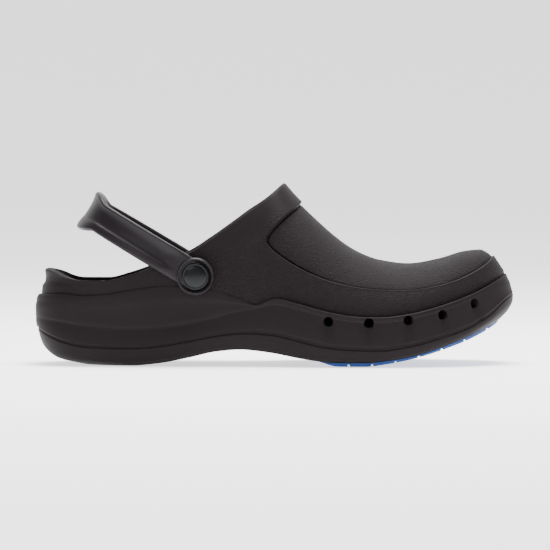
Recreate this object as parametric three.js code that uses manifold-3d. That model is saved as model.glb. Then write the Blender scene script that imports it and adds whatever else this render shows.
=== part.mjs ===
// A moulded foam clog for kitchen work, for the right foot, standing empty on its sole.
// Millimetres. +X runs to the toe, +Y to the inner (medial) side of the foot, +Z is up.
// The origin is on the floor, under the middle of the whole clog.

import * as THREE from "three";
import { mergeVertices } from "three/addons/utils/BufferGeometryUtils.js";
import Module from "manifold-3d";

const wasm = await Module();
wasm.setup();

// Driving sizes of the moulding.
const LENGTH = 290;
const BALL_WIDTH = 110;
const INSTEP_HEIGHT = 109.5;
const HEEL_ROUND = 40;
const TOE_ROUND = 70;
const HEEL_POWER = 2.2;
const TOE_POWER = 2.3;
const COLLAR_WALL = 4.2;
const RIM_CROWN = 0.6;
const PANEL_STEP = 1.3;
const FLOOR_MARGIN = 5;
const CLEARANCE = 0.3;
const SHORTEST_EDGE = 0.08;
const SLIMMEST_FACET = 0.004;
const NEEDLE_ROUNDS = 6;

// Outsole pad under the forefoot, and the tread in the heel of the moulding.
const PAD_INSET = 6.5;
const PAD_REAR_ROUND = 12;
const LUG_PITCH = 14;
const LUG_GAP = 1.4;
const LUG_SHARE = 0.62;
const PAD_LEAST = 0.25;
const PAD_DRAFT = 0.5;
const LUG_ROW_SPACING = 17;
const HEEL_GROOVE_PITCH = 9;
const HEEL_GROOVE_WIDTH = 2.4;
const HEEL_GROOVE_DEPTH = 1.6;
const HEEL_GROOVE_SPAN = 44;

// Insole.
const INSOLE_THICKNESS = 3.5;
const INSOLE_DISH = 1.8;
const INSOLE_BEVEL = 2;
const INSOLE_SLOPE = 12;

// Vents through the wall beside the toes, each with a scoop under it.
const VENT_RADIUS = 2.9;
const VENT_INWARD = 16;
const VENT_OUTWARD = 6;
const VENT_BAND_INSET = 1;
const SCOOP_RADIUS = 2.7;
const SCOOP_LENGTH = 9;
const SCOOP_ROOT = 3;
const SCOOP_TILT = 68;
const VENT_STAGGER = -6;

// Heel strap, its two bosses and the two buttons that it turns on.
const STRAP_REACH = 74.8;
const STRAP_RISE_ANGLE = 30.9;
const STRAP_WIDTH = 17.8;
const STRAP_BACK_FLARE = 7.4;
const STRAP_FLARE_FROM = 0.87;
const STRAP_RINGS = 32;
const TROUGH_FROM = 0.9;
const TROUGH_TO = 1.9;
const STRAP_THICKNESS = 3.2;
const STRAP_RIM = 1.9;
const BOSS_RIM_SHARE = 0.45;
const BACK_RIM_SHARE = 0.4;
const STRAP_LIP = 0.5;
const STRAP_EDGE = 1;
const STRAP_SQUARENESS = 2.6;
const BOSS_RADIUS = 11.2;
const BOSS_DEPTH = 5;
const CUP_RADIUS = 9.5;
const CUP_DEPTH = 2.6;
const HUB_RADIUS = 6;
const SEAT_STAND_OFF = 0.5;
const BUTTON_RADIUS = 8.3;
const BUTTON_EDGE = 1.9;
const BUTTON_DOME = 0.8;
const BUTTON_BEVEL = 0.5;
const DOME_SHOULDER = { out: 0.55, up: 0.7 };
const SHANK_RADIUS = 3;
const WASHER_RADIUS = 6;
const WASHER_RECESS = 0.8;
const WASHER_THICKNESS = 1.6;
const POCKET_REACH = 12;
const PIVOT_HEIGHT_SHARE = 0.493;
const PIVOT_AT = 0.3362;

// Sections from heel to toe. "at" is a share of LENGTH. The half widths and the axis, which bends the
// last towards the big toe, are shares of BALL_WIDTH, and so is the ledge, by which the upper stands
// back from the wall. The rest are heights of the lines that run round the clog, as shares of
// INSTEP_HEIGHT: the underside, the tread of the pad, the line over the lower band, the crease under
// the heel counter, the edge where the wall meets the upper, the ridge of the closed last, the collar,
// and the floor inside.
const SECTIONS = [
  { at: 0.00, ledge: 0.015, lateral: 0.345, medial: 0.345, axis: 0.000, under: 0.000, tread: 0.000, sole: 0.205, crease: 0.262, rand: 0.377, ridge: 0.960, collar: 0.519, floor: 0.205 },
  { at: 0.03, ledge: 0.015, lateral: 0.347, medial: 0.347, axis: 0.000, under: 0.000, tread: 0.000, sole: 0.161, crease: 0.250, rand: 0.385, ridge: 0.970, collar: 0.508, floor: 0.200 },
  { at: 0.06, ledge: 0.015, lateral: 0.350, medial: 0.350, axis: 0.000, under: 0.000, tread: 0.000, sole: 0.129, crease: 0.238, rand: 0.386, ridge: 0.980, collar: 0.484, floor: 0.196 },
  { at: 0.10, ledge: 0.014, lateral: 0.352, medial: 0.352, axis: 0.000, under: 0.000, tread: 0.000, sole: 0.105, crease: 0.222, rand: 0.378, ridge: 1.000, collar: 0.467, floor: 0.192 },
  { at: 0.15, ledge: 0.013, lateral: 0.354, medial: 0.352, axis: 0.000, under: 0.000, tread: 0.000, sole: 0.097, crease: 0.208, rand: 0.386, ridge: 1.040, collar: 0.467, floor: 0.190 },
  { at: 0.20, ledge: 0.011, lateral: 0.356, medial: 0.350, axis: 0.000, under: 0.000, tread: 0.000, sole: 0.094, crease: 0.202, rand: 0.408, ridge: 1.090, collar: 0.498, floor: 0.192 },
  { at: 0.26, ledge: 0.007, lateral: 0.358, medial: 0.347, axis: 0.000, under: 0.013, tread: 0.013, sole: 0.105, crease: 0.211, rand: 0.427, ridge: 1.150, collar: 0.553, floor: 0.198 },
  { at: 0.32, ledge: 0.005, lateral: 0.361, medial: 0.345, axis: 0.000, under: 0.043, tread: 0.043, sole: 0.132, crease: 0.232, rand: 0.429, ridge: 1.190, collar: 0.611, floor: 0.204 },
  { at: 0.38, ledge: 0.005, lateral: 0.367, medial: 0.343, axis: 0.000, under: 0.078, tread: 0.078, sole: 0.162, crease: 0.268, rand: 0.403, ridge: 1.190, collar: 0.711, floor: 0.206 },
  { at: 0.43, ledge: 0.010, lateral: 0.378, medial: 0.347, axis: 0.000, under: 0.089, tread: 0.089, sole: 0.177, crease: 0.305, rand: 0.363, ridge: 1.150, collar: 0.806, floor: 0.202 },
  { at: 0.46, ledge: 0.016, lateral: 0.388, medial: 0.356, axis: 0.000, under: 0.083, tread: 0.083, sole: 0.176, crease: 0.318, rand: 0.334, ridge: 1.100, collar: 0.865, floor: 0.197 },
  { at: 0.50, ledge: 0.024, lateral: 0.411, medial: 0.376, axis: 0.000, under: 0.069, tread: 0.069, sole: 0.166, crease: 0.340, rand: 0.371, ridge: 1.050, collar: 0.943, floor: 0.188 },
  { at: 0.55, ledge: 0.030, lateral: 0.446, medial: 0.411, axis: 0.000, under: 0.044, tread: 0.042, sole: 0.135, crease: 0.314, rand: 0.342, ridge: 0.914, collar: 1.055, floor: 0.170 },
  { at: 0.60, ledge: 0.032, lateral: 0.478, medial: 0.450, axis: 0.000, under: 0.026, tread: 0.018, sole: 0.105, crease: 0.278, rand: 0.306, ridge: 0.782, collar: 1.160, floor: 0.150 },
  { at: 0.63, ledge: 0.033, lateral: 0.490, medial: 0.472, axis: 0.001, under: 0.022, tread: 0.000, sole: 0.095, crease: 0.262, rand: 0.289, ridge: 0.711, collar: 1.220, floor: 0.143 },
  { at: 0.66, ledge: 0.033, lateral: 0.497, medial: 0.488, axis: 0.002, under: 0.022, tread: 0.000, sole: 0.090, crease: 0.250, rand: 0.277, ridge: 0.653, collar: 1.280, floor: 0.141 },
  { at: 0.69, ledge: 0.033, lateral: 0.500, medial: 0.498, axis: 0.004, under: 0.022, tread: 0.000, sole: 0.087, crease: 0.245, rand: 0.272, ridge: 0.612, collar: 1.340, floor: 0.143 },
  { at: 0.72, ledge: 0.033, lateral: 0.499, medial: 0.500, axis: 0.007, under: 0.029, tread: 0.009, sole: 0.087, crease: 0.245, rand: 0.272, ridge: 0.585, collar: 1.400, floor: 0.149 },
  { at: 0.78, ledge: 0.033, lateral: 0.490, medial: 0.494, axis: 0.015, under: 0.053, tread: 0.038, sole: 0.109, crease: 0.264, rand: 0.291, ridge: 0.565, collar: 1.500, floor: 0.172 },
  { at: 0.84, ledge: 0.033, lateral: 0.472, medial: 0.478, axis: 0.027, under: 0.099, tread: 0.082, sole: 0.150, crease: 0.302, rand: 0.330, ridge: 0.590, collar: 1.600, floor: 0.212 },
  { at: 0.90, ledge: 0.033, lateral: 0.455, medial: 0.458, axis: 0.043, under: 0.157, tread: 0.138, sole: 0.202, crease: 0.356, rand: 0.384, ridge: 0.634, collar: 1.700, floor: 0.268 },
  { at: 0.93, ledge: 0.032, lateral: 0.448, medial: 0.448, axis: 0.052, under: 0.193, tread: 0.174, sole: 0.243, crease: 0.389, rand: 0.419, ridge: 0.641, collar: 1.750, floor: 0.300 },
  { at: 0.95, ledge: 0.031, lateral: 0.443, medial: 0.443, axis: 0.058, under: 0.219, tread: 0.202, sole: 0.277, crease: 0.414, rand: 0.446, ridge: 0.618, collar: 1.800, floor: 0.322 },
  { at: 0.98, ledge: 0.030, lateral: 0.438, medial: 0.438, axis: 0.066, under: 0.262, tread: 0.250, sole: 0.350, crease: 0.440, rand: 0.488, ridge: 0.514, collar: 1.850, floor: 0.356 },
  { at: 1.00, ledge: 0.030, lateral: 0.436, medial: 0.436, axis: 0.070, under: 0.290, tread: 0.280, sole: 0.386, crease: 0.455, rand: 0.512, ridge: 0.440, collar: 1.900, floor: 0.380 },
];

// Rings round the wall, from the underside up to the upper. "heel" and "toe" are where a ring ends, as
// shares of LENGTH. "inset" is how far it lies inside the widest outline. Its height is "share" of the
// way from the line "low" to the line "high".
const RINGS = [
  { heel: 0.0980, toe: 0.9760, inset: 5.6, low: "under", high: "sole", share: 0.00 },
  { heel: 0.0450, toe: 0.9905, inset: 2.6, low: "under", high: "sole", share: 0.24 },
  { heel: 0.0150, toe: 0.9988, inset: 1.4, low: "under", high: "sole", share: 0.62 },
  { heel: 0.0070, toe: 0.9998, inset: 1.2, low: "under", high: "sole", share: 0.97 },
  { heel: 0.0045, toe: 1.0000, inset: 0.2, low: "sole", high: "crease", share: 0.02 },
  { heel: 0.0015, toe: 0.9978, inset: 0.1, low: "sole", high: "crease", share: 0.30 },
  { heel: 0.0005, toe: 0.9950, inset: 0.6, low: "sole", high: "crease", share: 0.68 },
  { heel: 0.0006, toe: 0.9932, inset: 1.1, low: "sole", high: "crease", share: 0.98 },
  { heel: 0.0002, toe: 0.9920, inset: 0.7, low: "crease", high: "rand", share: 0.10 },
  { heel: 0.0000, toe: 0.9885, inset: 0.6, low: "crease", high: "rand", share: 0.50 },
  { heel: 0.0080, toe: 0.9845, inset: 0.9, low: "crease", high: "rand", share: 0.92 },
  { heel: 0.0125, toe: 0.9800, inset: 0.0, low: "rand", high: "rand", share: 0.00 },
];
const RAND_EDGE = RINGS[RINGS.length - 1];

// The back of the heel over the wall: how far it leans in, at shares of the way up to the rim.
const HEEL_BACK = [
  { at: 0.00, lean: 0.0 },
  { at: 0.35, lean: 0.6 },
  { at: 0.55, lean: 2.3 },
  { at: 0.75, lean: 2.6 },
  { at: 1.00, lean: 2.2 },
];
const HEEL_BACK_REACH = 26;

// The lowered panel over the toes, seen from the side, in shares of LENGTH and INSTEP_HEIGHT. The last
// three corners close it over the ridge.
const PANEL_OUTLINE = [
  { at: 0.556, height: 0.886 },
  { at: 0.528, height: 0.832 },
  { at: 0.502, height: 0.771 },
  { at: 0.487, height: 0.727 },
  { at: 0.482, height: 0.694 },
  { at: 0.484, height: 0.668 },
  { at: 0.502, height: 0.622 },
  { at: 0.535, height: 0.562 },
  { at: 0.573, height: 0.509 },
  { at: 0.618, height: 0.463 },
  { at: 0.670, height: 0.433 },
  { at: 0.725, height: 0.421 },
  { at: 0.780, height: 0.418 },
  { at: 0.840, height: 0.441 },
  { at: 0.890, height: 0.482 },
  { at: 0.932, height: 0.540 },
  { at: 0.958, height: 0.590 },
  { at: 0.990, height: 0.680 },
  { at: 0.800, height: 1.000 },
  { at: 0.620, height: 1.050 },
];

// The strap's cross-section, from its lower edge round the outer face to its upper edge and back along
// the inner face. "up" is a share of its half width, "rim" how much of the rim's height a corner takes,
// "turn" how much of the lip it follows behind the heel, and "edge" how far it is rounded off.
const STRAP_SECTION = [
  { face: "outer", up: -1.00, rim: 1.00, turn: 1.0, edge: -1 },
  { face: "outer", up: -0.88, rim: 1.00, turn: 1.0, edge: 0 },
  { face: "outer", up: -0.53, rim: 1.00, turn: 0.4, edge: 0 },
  { face: "outer", up: -0.32, rim: 0.30, turn: 0.0, edge: 0 },
  { face: "outer", up: -0.06, rim: 0.00, turn: 0.0, edge: 0 },
  { face: "outer", up: 0.38, rim: 0.00, turn: 0.0, edge: 0 },
  { face: "outer", up: 0.69, rim: 0.45, turn: 0.3, edge: 0 },
  { face: "outer", up: 0.88, rim: 1.00, turn: 1.0, edge: 0 },
  { face: "outer", up: 1.00, rim: 1.00, turn: 1.0, edge: -1 },
  { face: "inner", up: 1.00, rim: 0.00, turn: 0.8, edge: 0.8 },
  { face: "inner", up: 0.80, rim: 0.00, turn: 0.2, edge: 0 },
  { face: "inner", up: -0.80, rim: 0.00, turn: 0.2, edge: 0 },
  { face: "inner", up: -1.00, rim: 0.00, turn: 0.8, edge: 0.8 },
];

// Where the vents come out, in shares of LENGTH and INSTEP_HEIGHT.
const VENTS = [
  { at: 0.610, height: 0.248 },
  { at: 0.694, height: 0.241 },
  { at: 0.775, height: 0.255 },
  { at: 0.847, height: 0.284 },
  { at: 0.915, height: 0.343 },
];

// How the inside of the wall curves into the floor: shares of the way in and down.
const FLOOR_CURVE = [
  { inward: 0.12, down: 0.45 },
  { inward: 0.45, down: 0.86 },
];

const PAD_AT = { rear: 0.578, front: 0.968 };
const HEEL_GROOVES_AT = { rear: 0.125, front: 0.245 };
const COLUMNS = 72;
const SCOOP_SIDES = 10;
const SMALL_SIDES = 12;
const ROUND_SIDES = 20;
const WIDE_SIDES = 36;
const NORMAL_STEP = 0.012;
const PATH_STEP = 0.004;
const UPPER_ROWS = [0.14, 0.28, 0.43, 0.58, 0.72, 0.86, 1];
const FULLNESS = 0.94;
const THROAT_BETWEEN = { rear: 0.4, front: 0.6 };
const TINY = 1e-6;
const PLAN_FROM = 0.62;
const PLAN_TO = 0.92;

const EVA = new THREE.MeshStandardMaterial({ color: 0x2b2829, roughness: 0.72, metalness: 0 });
const RUBBER = new THREE.MeshStandardMaterial({ color: 0x23508f, roughness: 0.55, metalness: 0 });
const LINING = new THREE.MeshStandardMaterial({ color: 0x232223, roughness: 0.9, metalness: 0 });
const STRAP_EVA = new THREE.MeshStandardMaterial({ color: 0x282627, roughness: 0.55, metalness: 0 });
const GLOSS = new THREE.MeshStandardMaterial({ color: 0x1d2228, roughness: 0.2, metalness: 0 });

const mix = THREE.MathUtils.lerp;
const { clamp, smoothstep, degToRad } = THREE.MathUtils;

// A smooth curve through a column of a table, by cubic pieces whose slopes never overshoot.
function columnCurve(table, column, keyScale = 1, valueScale = 1) {
  const keys = table.map((row) => row.at * keyScale);
  const values = table.map((row) => row[column] * valueScale);
  const rise = (i) => (values[i + 1] - values[i]) / (keys[i + 1] - keys[i]);
  const slopes = values.map((_, i) => {
    if (i === 0) return rise(0);
    if (i === values.length - 1) return rise(i - 1);
    const [before, after] = [rise(i - 1), rise(i)];
    return before * after <= 0 ? 0 : (2 * before * after) / (before + after);
  });
  return (key) => {
    const x = clamp(key, keys[0], keys[keys.length - 1]);
    const i = Math.max(0, keys.findIndex((k, n) => n > 0 && x <= k) - 1);
    const span = keys[i + 1] - keys[i];
    const t = (x - keys[i]) / span;
    const [t2, t3] = [t * t, t * t * t];
    return (
      values[i] * (2 * t3 - 3 * t2 + 1) +
      values[i + 1] * (3 * t2 - 2 * t3) +
      span * (slopes[i] * (t3 - 2 * t2 + t) + slopes[i + 1] * (t3 - t2))
    );
  };
}

const line = {};
for (const name of ["under", "tread", "sole", "crease", "rand", "ridge", "collar", "floor"]) {
  line[name] = columnCurve(SECTIONS, name, LENGTH, INSTEP_HEIGHT);
}
for (const name of ["lateral", "medial", "axis", "ledge"]) {
  line[name] = columnCurve(SECTIONS, name, LENGTH, BALL_WIDTH);
}
const heelLean = columnCurve(HEEL_BACK, "lean");

// The front of the opening, where the collar meets the ridge.
function meetingOf(high, low, from, to) {
  const middle = (from + to) / 2;
  if (to - from < TINY) return middle;
  return high(middle) > low(middle) ? meetingOf(high, low, middle, to) : meetingOf(high, low, from, middle);
}
const THROAT = meetingOf(
  line.ridge,
  line.collar,
  THROAT_BETWEEN.rear * LENGTH,
  THROAT_BETWEEN.front * LENGTH,
);

// Half width of an outline that ends at heel and toe, with both ends rounded.
function halfWidth(x, side, heel, toe, inset, heelRound = HEEL_ROUND, toeRound = TOE_ROUND) {
  const fromHeel = clamp((x - heel) / heelRound, 0, 1);
  const fromToe = clamp((toe - x) / toeRound, 0, 1);
  const round = (share, power) => (1 - (1 - share) ** power) ** (1 / power);
  return (line[side](x) - inset) * round(fromHeel, HEEL_POWER) * round(fromToe, TOE_POWER);
}

// The columns of every ring: from the heel along the outer side to the toe, and back along the inner.
function column(i) {
  const turn = (2 * Math.PI * i) / COLUMNS;
  const outer = turn <= Math.PI;
  const share = (1 - Math.cos(turn)) / 2;
  return { side: outer ? "lateral" : "medial", sign: outer ? -1 : 1, share };
}

function ring(pointOf) {
  return Array.from({ length: COLUMNS }, (_, i) => pointOf(column(i), i));
}

function outlineRing({ heel, toe, inset, heelRound, toeRound, height }) {
  return ring(({ side, sign, share }) => {
    const x = mix(heel, toe, share);
    const y = sign * halfWidth(x, side, heel, toe, inset, heelRound, toeRound) + line.axis(x);
    return new THREE.Vector3(x, y, height(x));
  });
}

function wallRing(row) {
  const height = (x) => mix(line[row.low](x), line[row.high](x), row.share);
  return outlineRing({ heel: row.heel * LENGTH, toe: row.toe * LENGTH, inset: row.inset, height });
}

// Half width of the upper where it meets the wall, and its two ends.
const UPPER_HEEL = RAND_EDGE.heel * LENGTH;
const UPPER_TOE = RAND_EDGE.toe * LENGTH;
function upperWidth(x, side) {
  return halfWidth(x, side, UPPER_HEEL, UPPER_TOE, line.ledge(x));
}

// A point of the upper's outer face. "up" runs from 0 at the wall to 1 at the collar.
function upperPoint({ side, sign, share }, up) {
  const heel = UPPER_HEEL;
  const toe = UPPER_TOE;
  const width = (x) => upperWidth(x, side);
  const rise = (x) => Math.max(line.ridge(x) - line.rand(x), 1e-3);
  const start = mix(heel, toe, share);
  const end = mix(heel, THROAT, share);
  const reach = clamp((line.collar(end) - line.rand(end)) / rise(end), 0, 1);
  const last = share > 1 - TINY ? Math.PI / 2 : Math.asin(reach ** (1 / FULLNESS));
  const ease = 1 - Math.cos((up * Math.PI) / 2);
  const x = mix(start, end, ease);
  const rim = Math.cos(last) ** FULLNESS;
  const across = mix(width(start), width(end) * rim, ease) / Math.max(width(x), TINY);
  const inPlan = Math.acos(clamp(across, 0, mix(1, rim, ease)) ** (1 / FULLNESS));
  const angle = mix(up * last, inPlan, smoothstep(share, PLAN_FROM, PLAN_TO));
  const y = width(x) * Math.cos(angle) ** FULLNESS;
  const z = line.rand(x) + rise(x) * Math.sin(angle) ** FULLNESS;
  const back = heelLean(up) * (1 - smoothstep(x - heel, 0, HEEL_BACK_REACH));
  return new THREE.Vector3(x + back, sign * y + line.axis(x), z);
}

// The same point moved inwards along the face's own normal.
function insetUpperPoint(spot, up, depth) {
  const step = NORMAL_STEP;
  const at = clamp(up, step, 1 - step);
  const turn = (share, sign) => (sign < 0 ? 1 : -1) * Math.acos(clamp(1 - 2 * share, -1, 1));
  const around = (delta) => {
    const angle = turn(spot.share, spot.sign) + delta;
    const outer = Math.sin(angle) >= 0;
    return upperPoint(
      { side: outer ? "lateral" : "medial", sign: outer ? -1 : 1, share: (1 - Math.cos(angle)) / 2 },
      at,
    );
  };
  const along = around(step).sub(around(-step));
  const upward = upperPoint(spot, at + step).sub(upperPoint(spot, at - step));
  const normal = along.cross(upward).normalize();
  return upperPoint(spot, up).addScaledVector(normal, -depth);
}

// A closed geometry from rings: its first ring is capped underneath and its last one on top.
function loft(rings) {
  const count = rings[0].length;
  const index = [];
  rings.slice(1).forEach((_, row) => {
    for (let i = 0; i < count; i++) {
      const [a, b] = [row * count + i, row * count + ((i + 1) % count)];
      index.push(a, b, b + count, a, b + count, a + count);
    }
  });
  const top = (rings.length - 1) * count;
  for (let i = 0; i < count / 2; i++) {
    const [a, b] = [i, i + 1];
    const [c, d] = [count - i - 1, (count - i) % count];
    if (i < count / 2 - 1) {
      index.push(a, c, b, top + a, top + b, top + c);
    }
    if (i > 0) {
      index.push(a, d, c, top + a, top + c, top + d);
    }
  }
  const geometry = new THREE.BufferGeometry().setFromPoints(rings.flat());
  return geometry.setIndex(index);
}

// A three.js geometry as a solid that can be cut and joined, and back.
function solidOf(geometry) {
  const bare = geometry.index ? geometry.clone() : geometry;
  bare.deleteAttribute("normal");
  bare.deleteAttribute("uv");
  const merged = mergeVertices(bare, 1e-4);
  const corners = [];
  for (let i = 0; i < merged.index.count; i += 3) {
    const [a, b, c] = [0, 1, 2].map((k) => merged.index.getX(i + k));
    if (a !== b && b !== c && a !== c) corners.push(a, b, c);
  }
  const vertProperties = new Float32Array(merged.attributes.position.array);
  return new wasm.Manifold(
    new wasm.Mesh({ numProp: 3, vertProperties, triVerts: new Uint32Array(corners) }),
  );
}

// Cutting leaves needle-thin triangles. A very short edge is closed up, and where a corner all but lies
// on the opposite edge, that edge is turned, so that no facet is thinner than a mould can show.
function withoutNeedles(corners, triangles) {
  const faces = triangles.map((triangle) => [...triangle]);
  const facesAt = corners.map(() => new Set());
  faces.forEach((face, n) => face.forEach((p) => facesAt[p].add(n)));
  const around = (p) => new Set([...facesAt[p]].flatMap((n) => faces[n]));
  const shared = (p, q) => [...facesAt[p]].filter((n) => facesAt[q].has(n));
  const length = (p, q) => corners[p].distanceTo(corners[q]);

  const closeEdge = (p, q) => {
    const gone = shared(p, q);
    const near = around(q);
    const common = [...around(p)].filter((v) => near.has(v) && v !== p && v !== q);
    if (gone.length !== 2 || common.length !== 2) return;
    for (const n of gone) {
      faces[n].forEach((v) => facesAt[v].delete(n));
      faces[n] = null;
    }
    for (const n of facesAt[q]) {
      faces[n] = faces[n].map((v) => (v === q ? p : v));
      facesAt[p].add(n);
    }
    facesAt[q].clear();
  };

  const turnEdge = (n, [p, q, tip]) => {
    const other = shared(p, q).find((m) => m !== n);
    const far = faces[other].find((v) => v !== p && v !== q);
    if (around(tip).has(far)) return;
    faces[n] = [p, far, tip];
    faces[other] = [far, q, tip];
    facesAt[q].delete(n);
    facesAt[p].delete(other);
    facesAt[far].add(n);
    facesAt[tip].add(other);
  };

  for (let round = 0; round < NEEDLE_ROUNDS; round++) {
    faces.forEach((face, n) => {
      if (!face) return;
      const [a, b, c] = face;
      const edges = [[a, b, c], [b, c, a], [c, a, b]].sort((s, t) => length(s[0], s[1]) - length(t[0], t[1]));
      const [[p, q], , [from, to, tip]] = edges;
      const base = corners[to].clone().sub(corners[from]);
      const height = base.clone().cross(corners[tip].clone().sub(corners[from])).length() / base.length();
      if (length(p, q) < SHORTEST_EDGE) closeEdge(p, q);
      else if (height < SLIMMEST_FACET) turnEdge(n, [from, to, tip]);
    });
  }
  return faces.filter((face) => face);
}

function geometryOf(solid) {
  const { numProp, numVert, vertProperties, triVerts } = solid.getMesh();
  const corners = Array.from({ length: numVert }, (_, i) =>
    new THREE.Vector3().fromArray(vertProperties, i * numProp),
  );
  const triangles = Array.from({ length: triVerts.length / 3 }, (_, i) =>
    Array.from(triVerts.subarray(3 * i, 3 * i + 3)),
  );
  const geometry = new THREE.BufferGeometry().setFromPoints(corners);
  geometry.setIndex(withoutNeedles(corners, triangles).flat());
  geometry.computeVertexNormals();
  return geometry;
}

function cylinder(radius, from, to, sides = ROUND_SIDES) {
  const axis = new THREE.Vector3().subVectors(to, from);
  const geometry = new THREE.CylinderGeometry(radius, radius, axis.length(), sides);
  const turn = new THREE.Quaternion().setFromUnitVectors(
    new THREE.Vector3(0, 1, 0),
    axis.clone().normalize(),
  );
  geometry.applyQuaternion(turn);
  geometry.translate(...from.clone().add(to).multiplyScalar(0.5));
  return solidOf(geometry);
}

// A prism along Y from a closed outline in the XZ plane.
function sidePrism(points, low, high) {
  const shape = new THREE.Shape(points.map(([x, z]) => new THREE.Vector2(x, z)));
  const geometry = new THREE.ExtrudeGeometry(shape, { depth: high - low, bevelEnabled: false });
  geometry.rotateX(Math.PI / 2);
  geometry.translate(0, high, 0);
  return solidOf(geometry);
}

const PIVOT = new THREE.Vector3(PIVOT_AT * LENGTH, 0, PIVOT_HEIGHT_SHARE * INSTEP_HEIGHT);

// How far from the middle plane the flat seat of the strap lies, on each side.
function seatFace(side) {
  return line[side](PIVOT.x) + SEAT_STAND_OFF;
}

// The inner end of the rivet hole, where the washer of a button bears.
function washerFace(side) {
  return upperWidth(PIVOT.x, side) - COLLAR_WALL - WASHER_RECESS;
}

// The outer face of the upper, inset all over, closed over the collar.
function upperForm(depth) {
  const rows = UPPER_ROWS.map((up) => ring((spot) => insetUpperPoint(spot, up, depth)));
  const foot = ring((spot) => {
    const point = insetUpperPoint(spot, UPPER_ROWS[0], depth);
    return point.setZ(line.floor(point.x));
  });
  return solidOf(loft([foot, ...rows]));
}

function innerRings() {
  const walls = UPPER_ROWS.slice()
    .reverse()
    .map((up) => ring((spot) => insetUpperPoint(spot, up, COLLAR_WALL)));
  const lowest = walls[walls.length - 1];
  const floorRing = outlineRing({
    heel: UPPER_HEEL + COLLAR_WALL + FLOOR_MARGIN,
    toe: UPPER_TOE - COLLAR_WALL - 2 * FLOOR_MARGIN,
    inset: COLLAR_WALL + FLOOR_MARGIN,
    height: line.floor,
  });
  const between = (share, drop) =>
    lowest.map((point, i) => {
      const foot = floorRing[i];
      return new THREE.Vector3(
        mix(point.x, foot.x, share),
        mix(point.y, foot.y, share),
        mix(point.z, foot.z, drop),
      );
    });
  const curve = FLOOR_CURVE.map(({ inward, down }) => between(inward, down));
  return { rings: [...walls, ...curve, floorRing], floorRing };
}

function rimRing() {
  return ring((spot) => {
    const middle = insetUpperPoint(spot, 1, COLLAR_WALL / 2);
    return middle.add(new THREE.Vector3(0, 0, RIM_CROWN));
  });
}

// The moulded body in one piece: wall, upper, rim, inside and floor.
function shell() {
  const wall = RINGS.slice(0, -1).map(wallRing);
  const upper = [0, ...UPPER_ROWS].map((up) => ring((spot) => upperPoint(spot, up)));
  return solidOf(loft([...wall, ...upper, rimRing(), ...innerRings().rings]));
}

// What is taken off the upper so that the panel over the toes lies lower than the rest.
function panelCut() {
  const outline = PANEL_OUTLINE.map(({ at, height }) => [at * LENGTH, height * INSTEP_HEIGHT]);
  return sidePrism(outline, -BALL_WIDTH, BALL_WIDTH).subtract(upperForm(PANEL_STEP));
}

// One vent: a round hole through the wall, and the scoop that the mould's pin leaves under it.
function ventCut({ at, height }, side) {
  const sign = side === "lateral" ? -1 : 1;
  const x = at * LENGTH + (side === "medial" ? VENT_STAGGER : 0);
  const z = height * INSTEP_HEIGHT;
  const surface = (where) =>
    new THREE.Vector3(
      where,
      sign * halfWidth(where, side, 0, LENGTH, VENT_BAND_INSET) + line.axis(where),
      z,
    );
  const mouth = surface(x);
  const along = surface(x + 1).sub(surface(x - 1)).normalize();
  const outward = new THREE.Vector3(along.y, -along.x, 0).multiplyScalar(-sign * Math.sign(along.x));
  const tilt = degToRad(SCOOP_TILT);
  const down = outward.clone().multiplyScalar(Math.cos(tilt)).setZ(-Math.sin(tilt));
  const hole = cylinder(
    VENT_RADIUS,
    mouth.clone().addScaledVector(outward, -VENT_INWARD),
    mouth.clone().addScaledVector(outward, VENT_OUTWARD),
    SMALL_SIDES,
  );
  const root = mouth.clone().addScaledVector(outward, -SCOOP_ROOT);
  const tip = root.clone().addScaledVector(down, SCOOP_LENGTH + SCOOP_ROOT);
  const scoop = cylinder(SCOOP_RADIUS, root, tip, SCOOP_SIDES);
  return hole.add(scoop);
}

function heelGrooves() {
  const cuts = [];
  const last = HEEL_GROOVES_AT.front * LENGTH;
  for (let x = HEEL_GROOVES_AT.rear * LENGTH; x < last; x += HEEL_GROOVE_PITCH) {
    const geometry = new THREE.BoxGeometry(HEEL_GROOVE_WIDTH, HEEL_GROOVE_SPAN, 2 * HEEL_GROOVE_DEPTH);
    cuts.push(solidOf(geometry.translate(x, 0, line.under(x))));
  }
  return cuts;
}

function strapSeat(side) {
  const sign = side === "lateral" ? -1 : 1;
  const at = (y) => new THREE.Vector3(PIVOT.x, sign * y, PIVOT.z);
  const face = seatFace(side);
  const washer = washerFace(side);
  return {
    hole: cylinder(SHANK_RADIUS + CLEARANCE, at(face + POCKET_REACH), at(washer - POCKET_REACH)),
    pocket: cylinder(WASHER_RADIUS + 2 * CLEARANCE, at(washer), at(washer - POCKET_REACH)),
  };
}

function bodySolid() {
  let body = shell().subtract(panelCut());
  for (const side of ["lateral", "medial"]) {
    const { hole, pocket } = strapSeat(side);
    body = body.subtract(hole).subtract(pocket);
    for (const vent of VENTS) {
      body = body.subtract(ventCut(vent, side));
    }
  }
  for (const groove of heelGrooves()) {
    body = body.subtract(groove);
  }
  return body;
}

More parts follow.
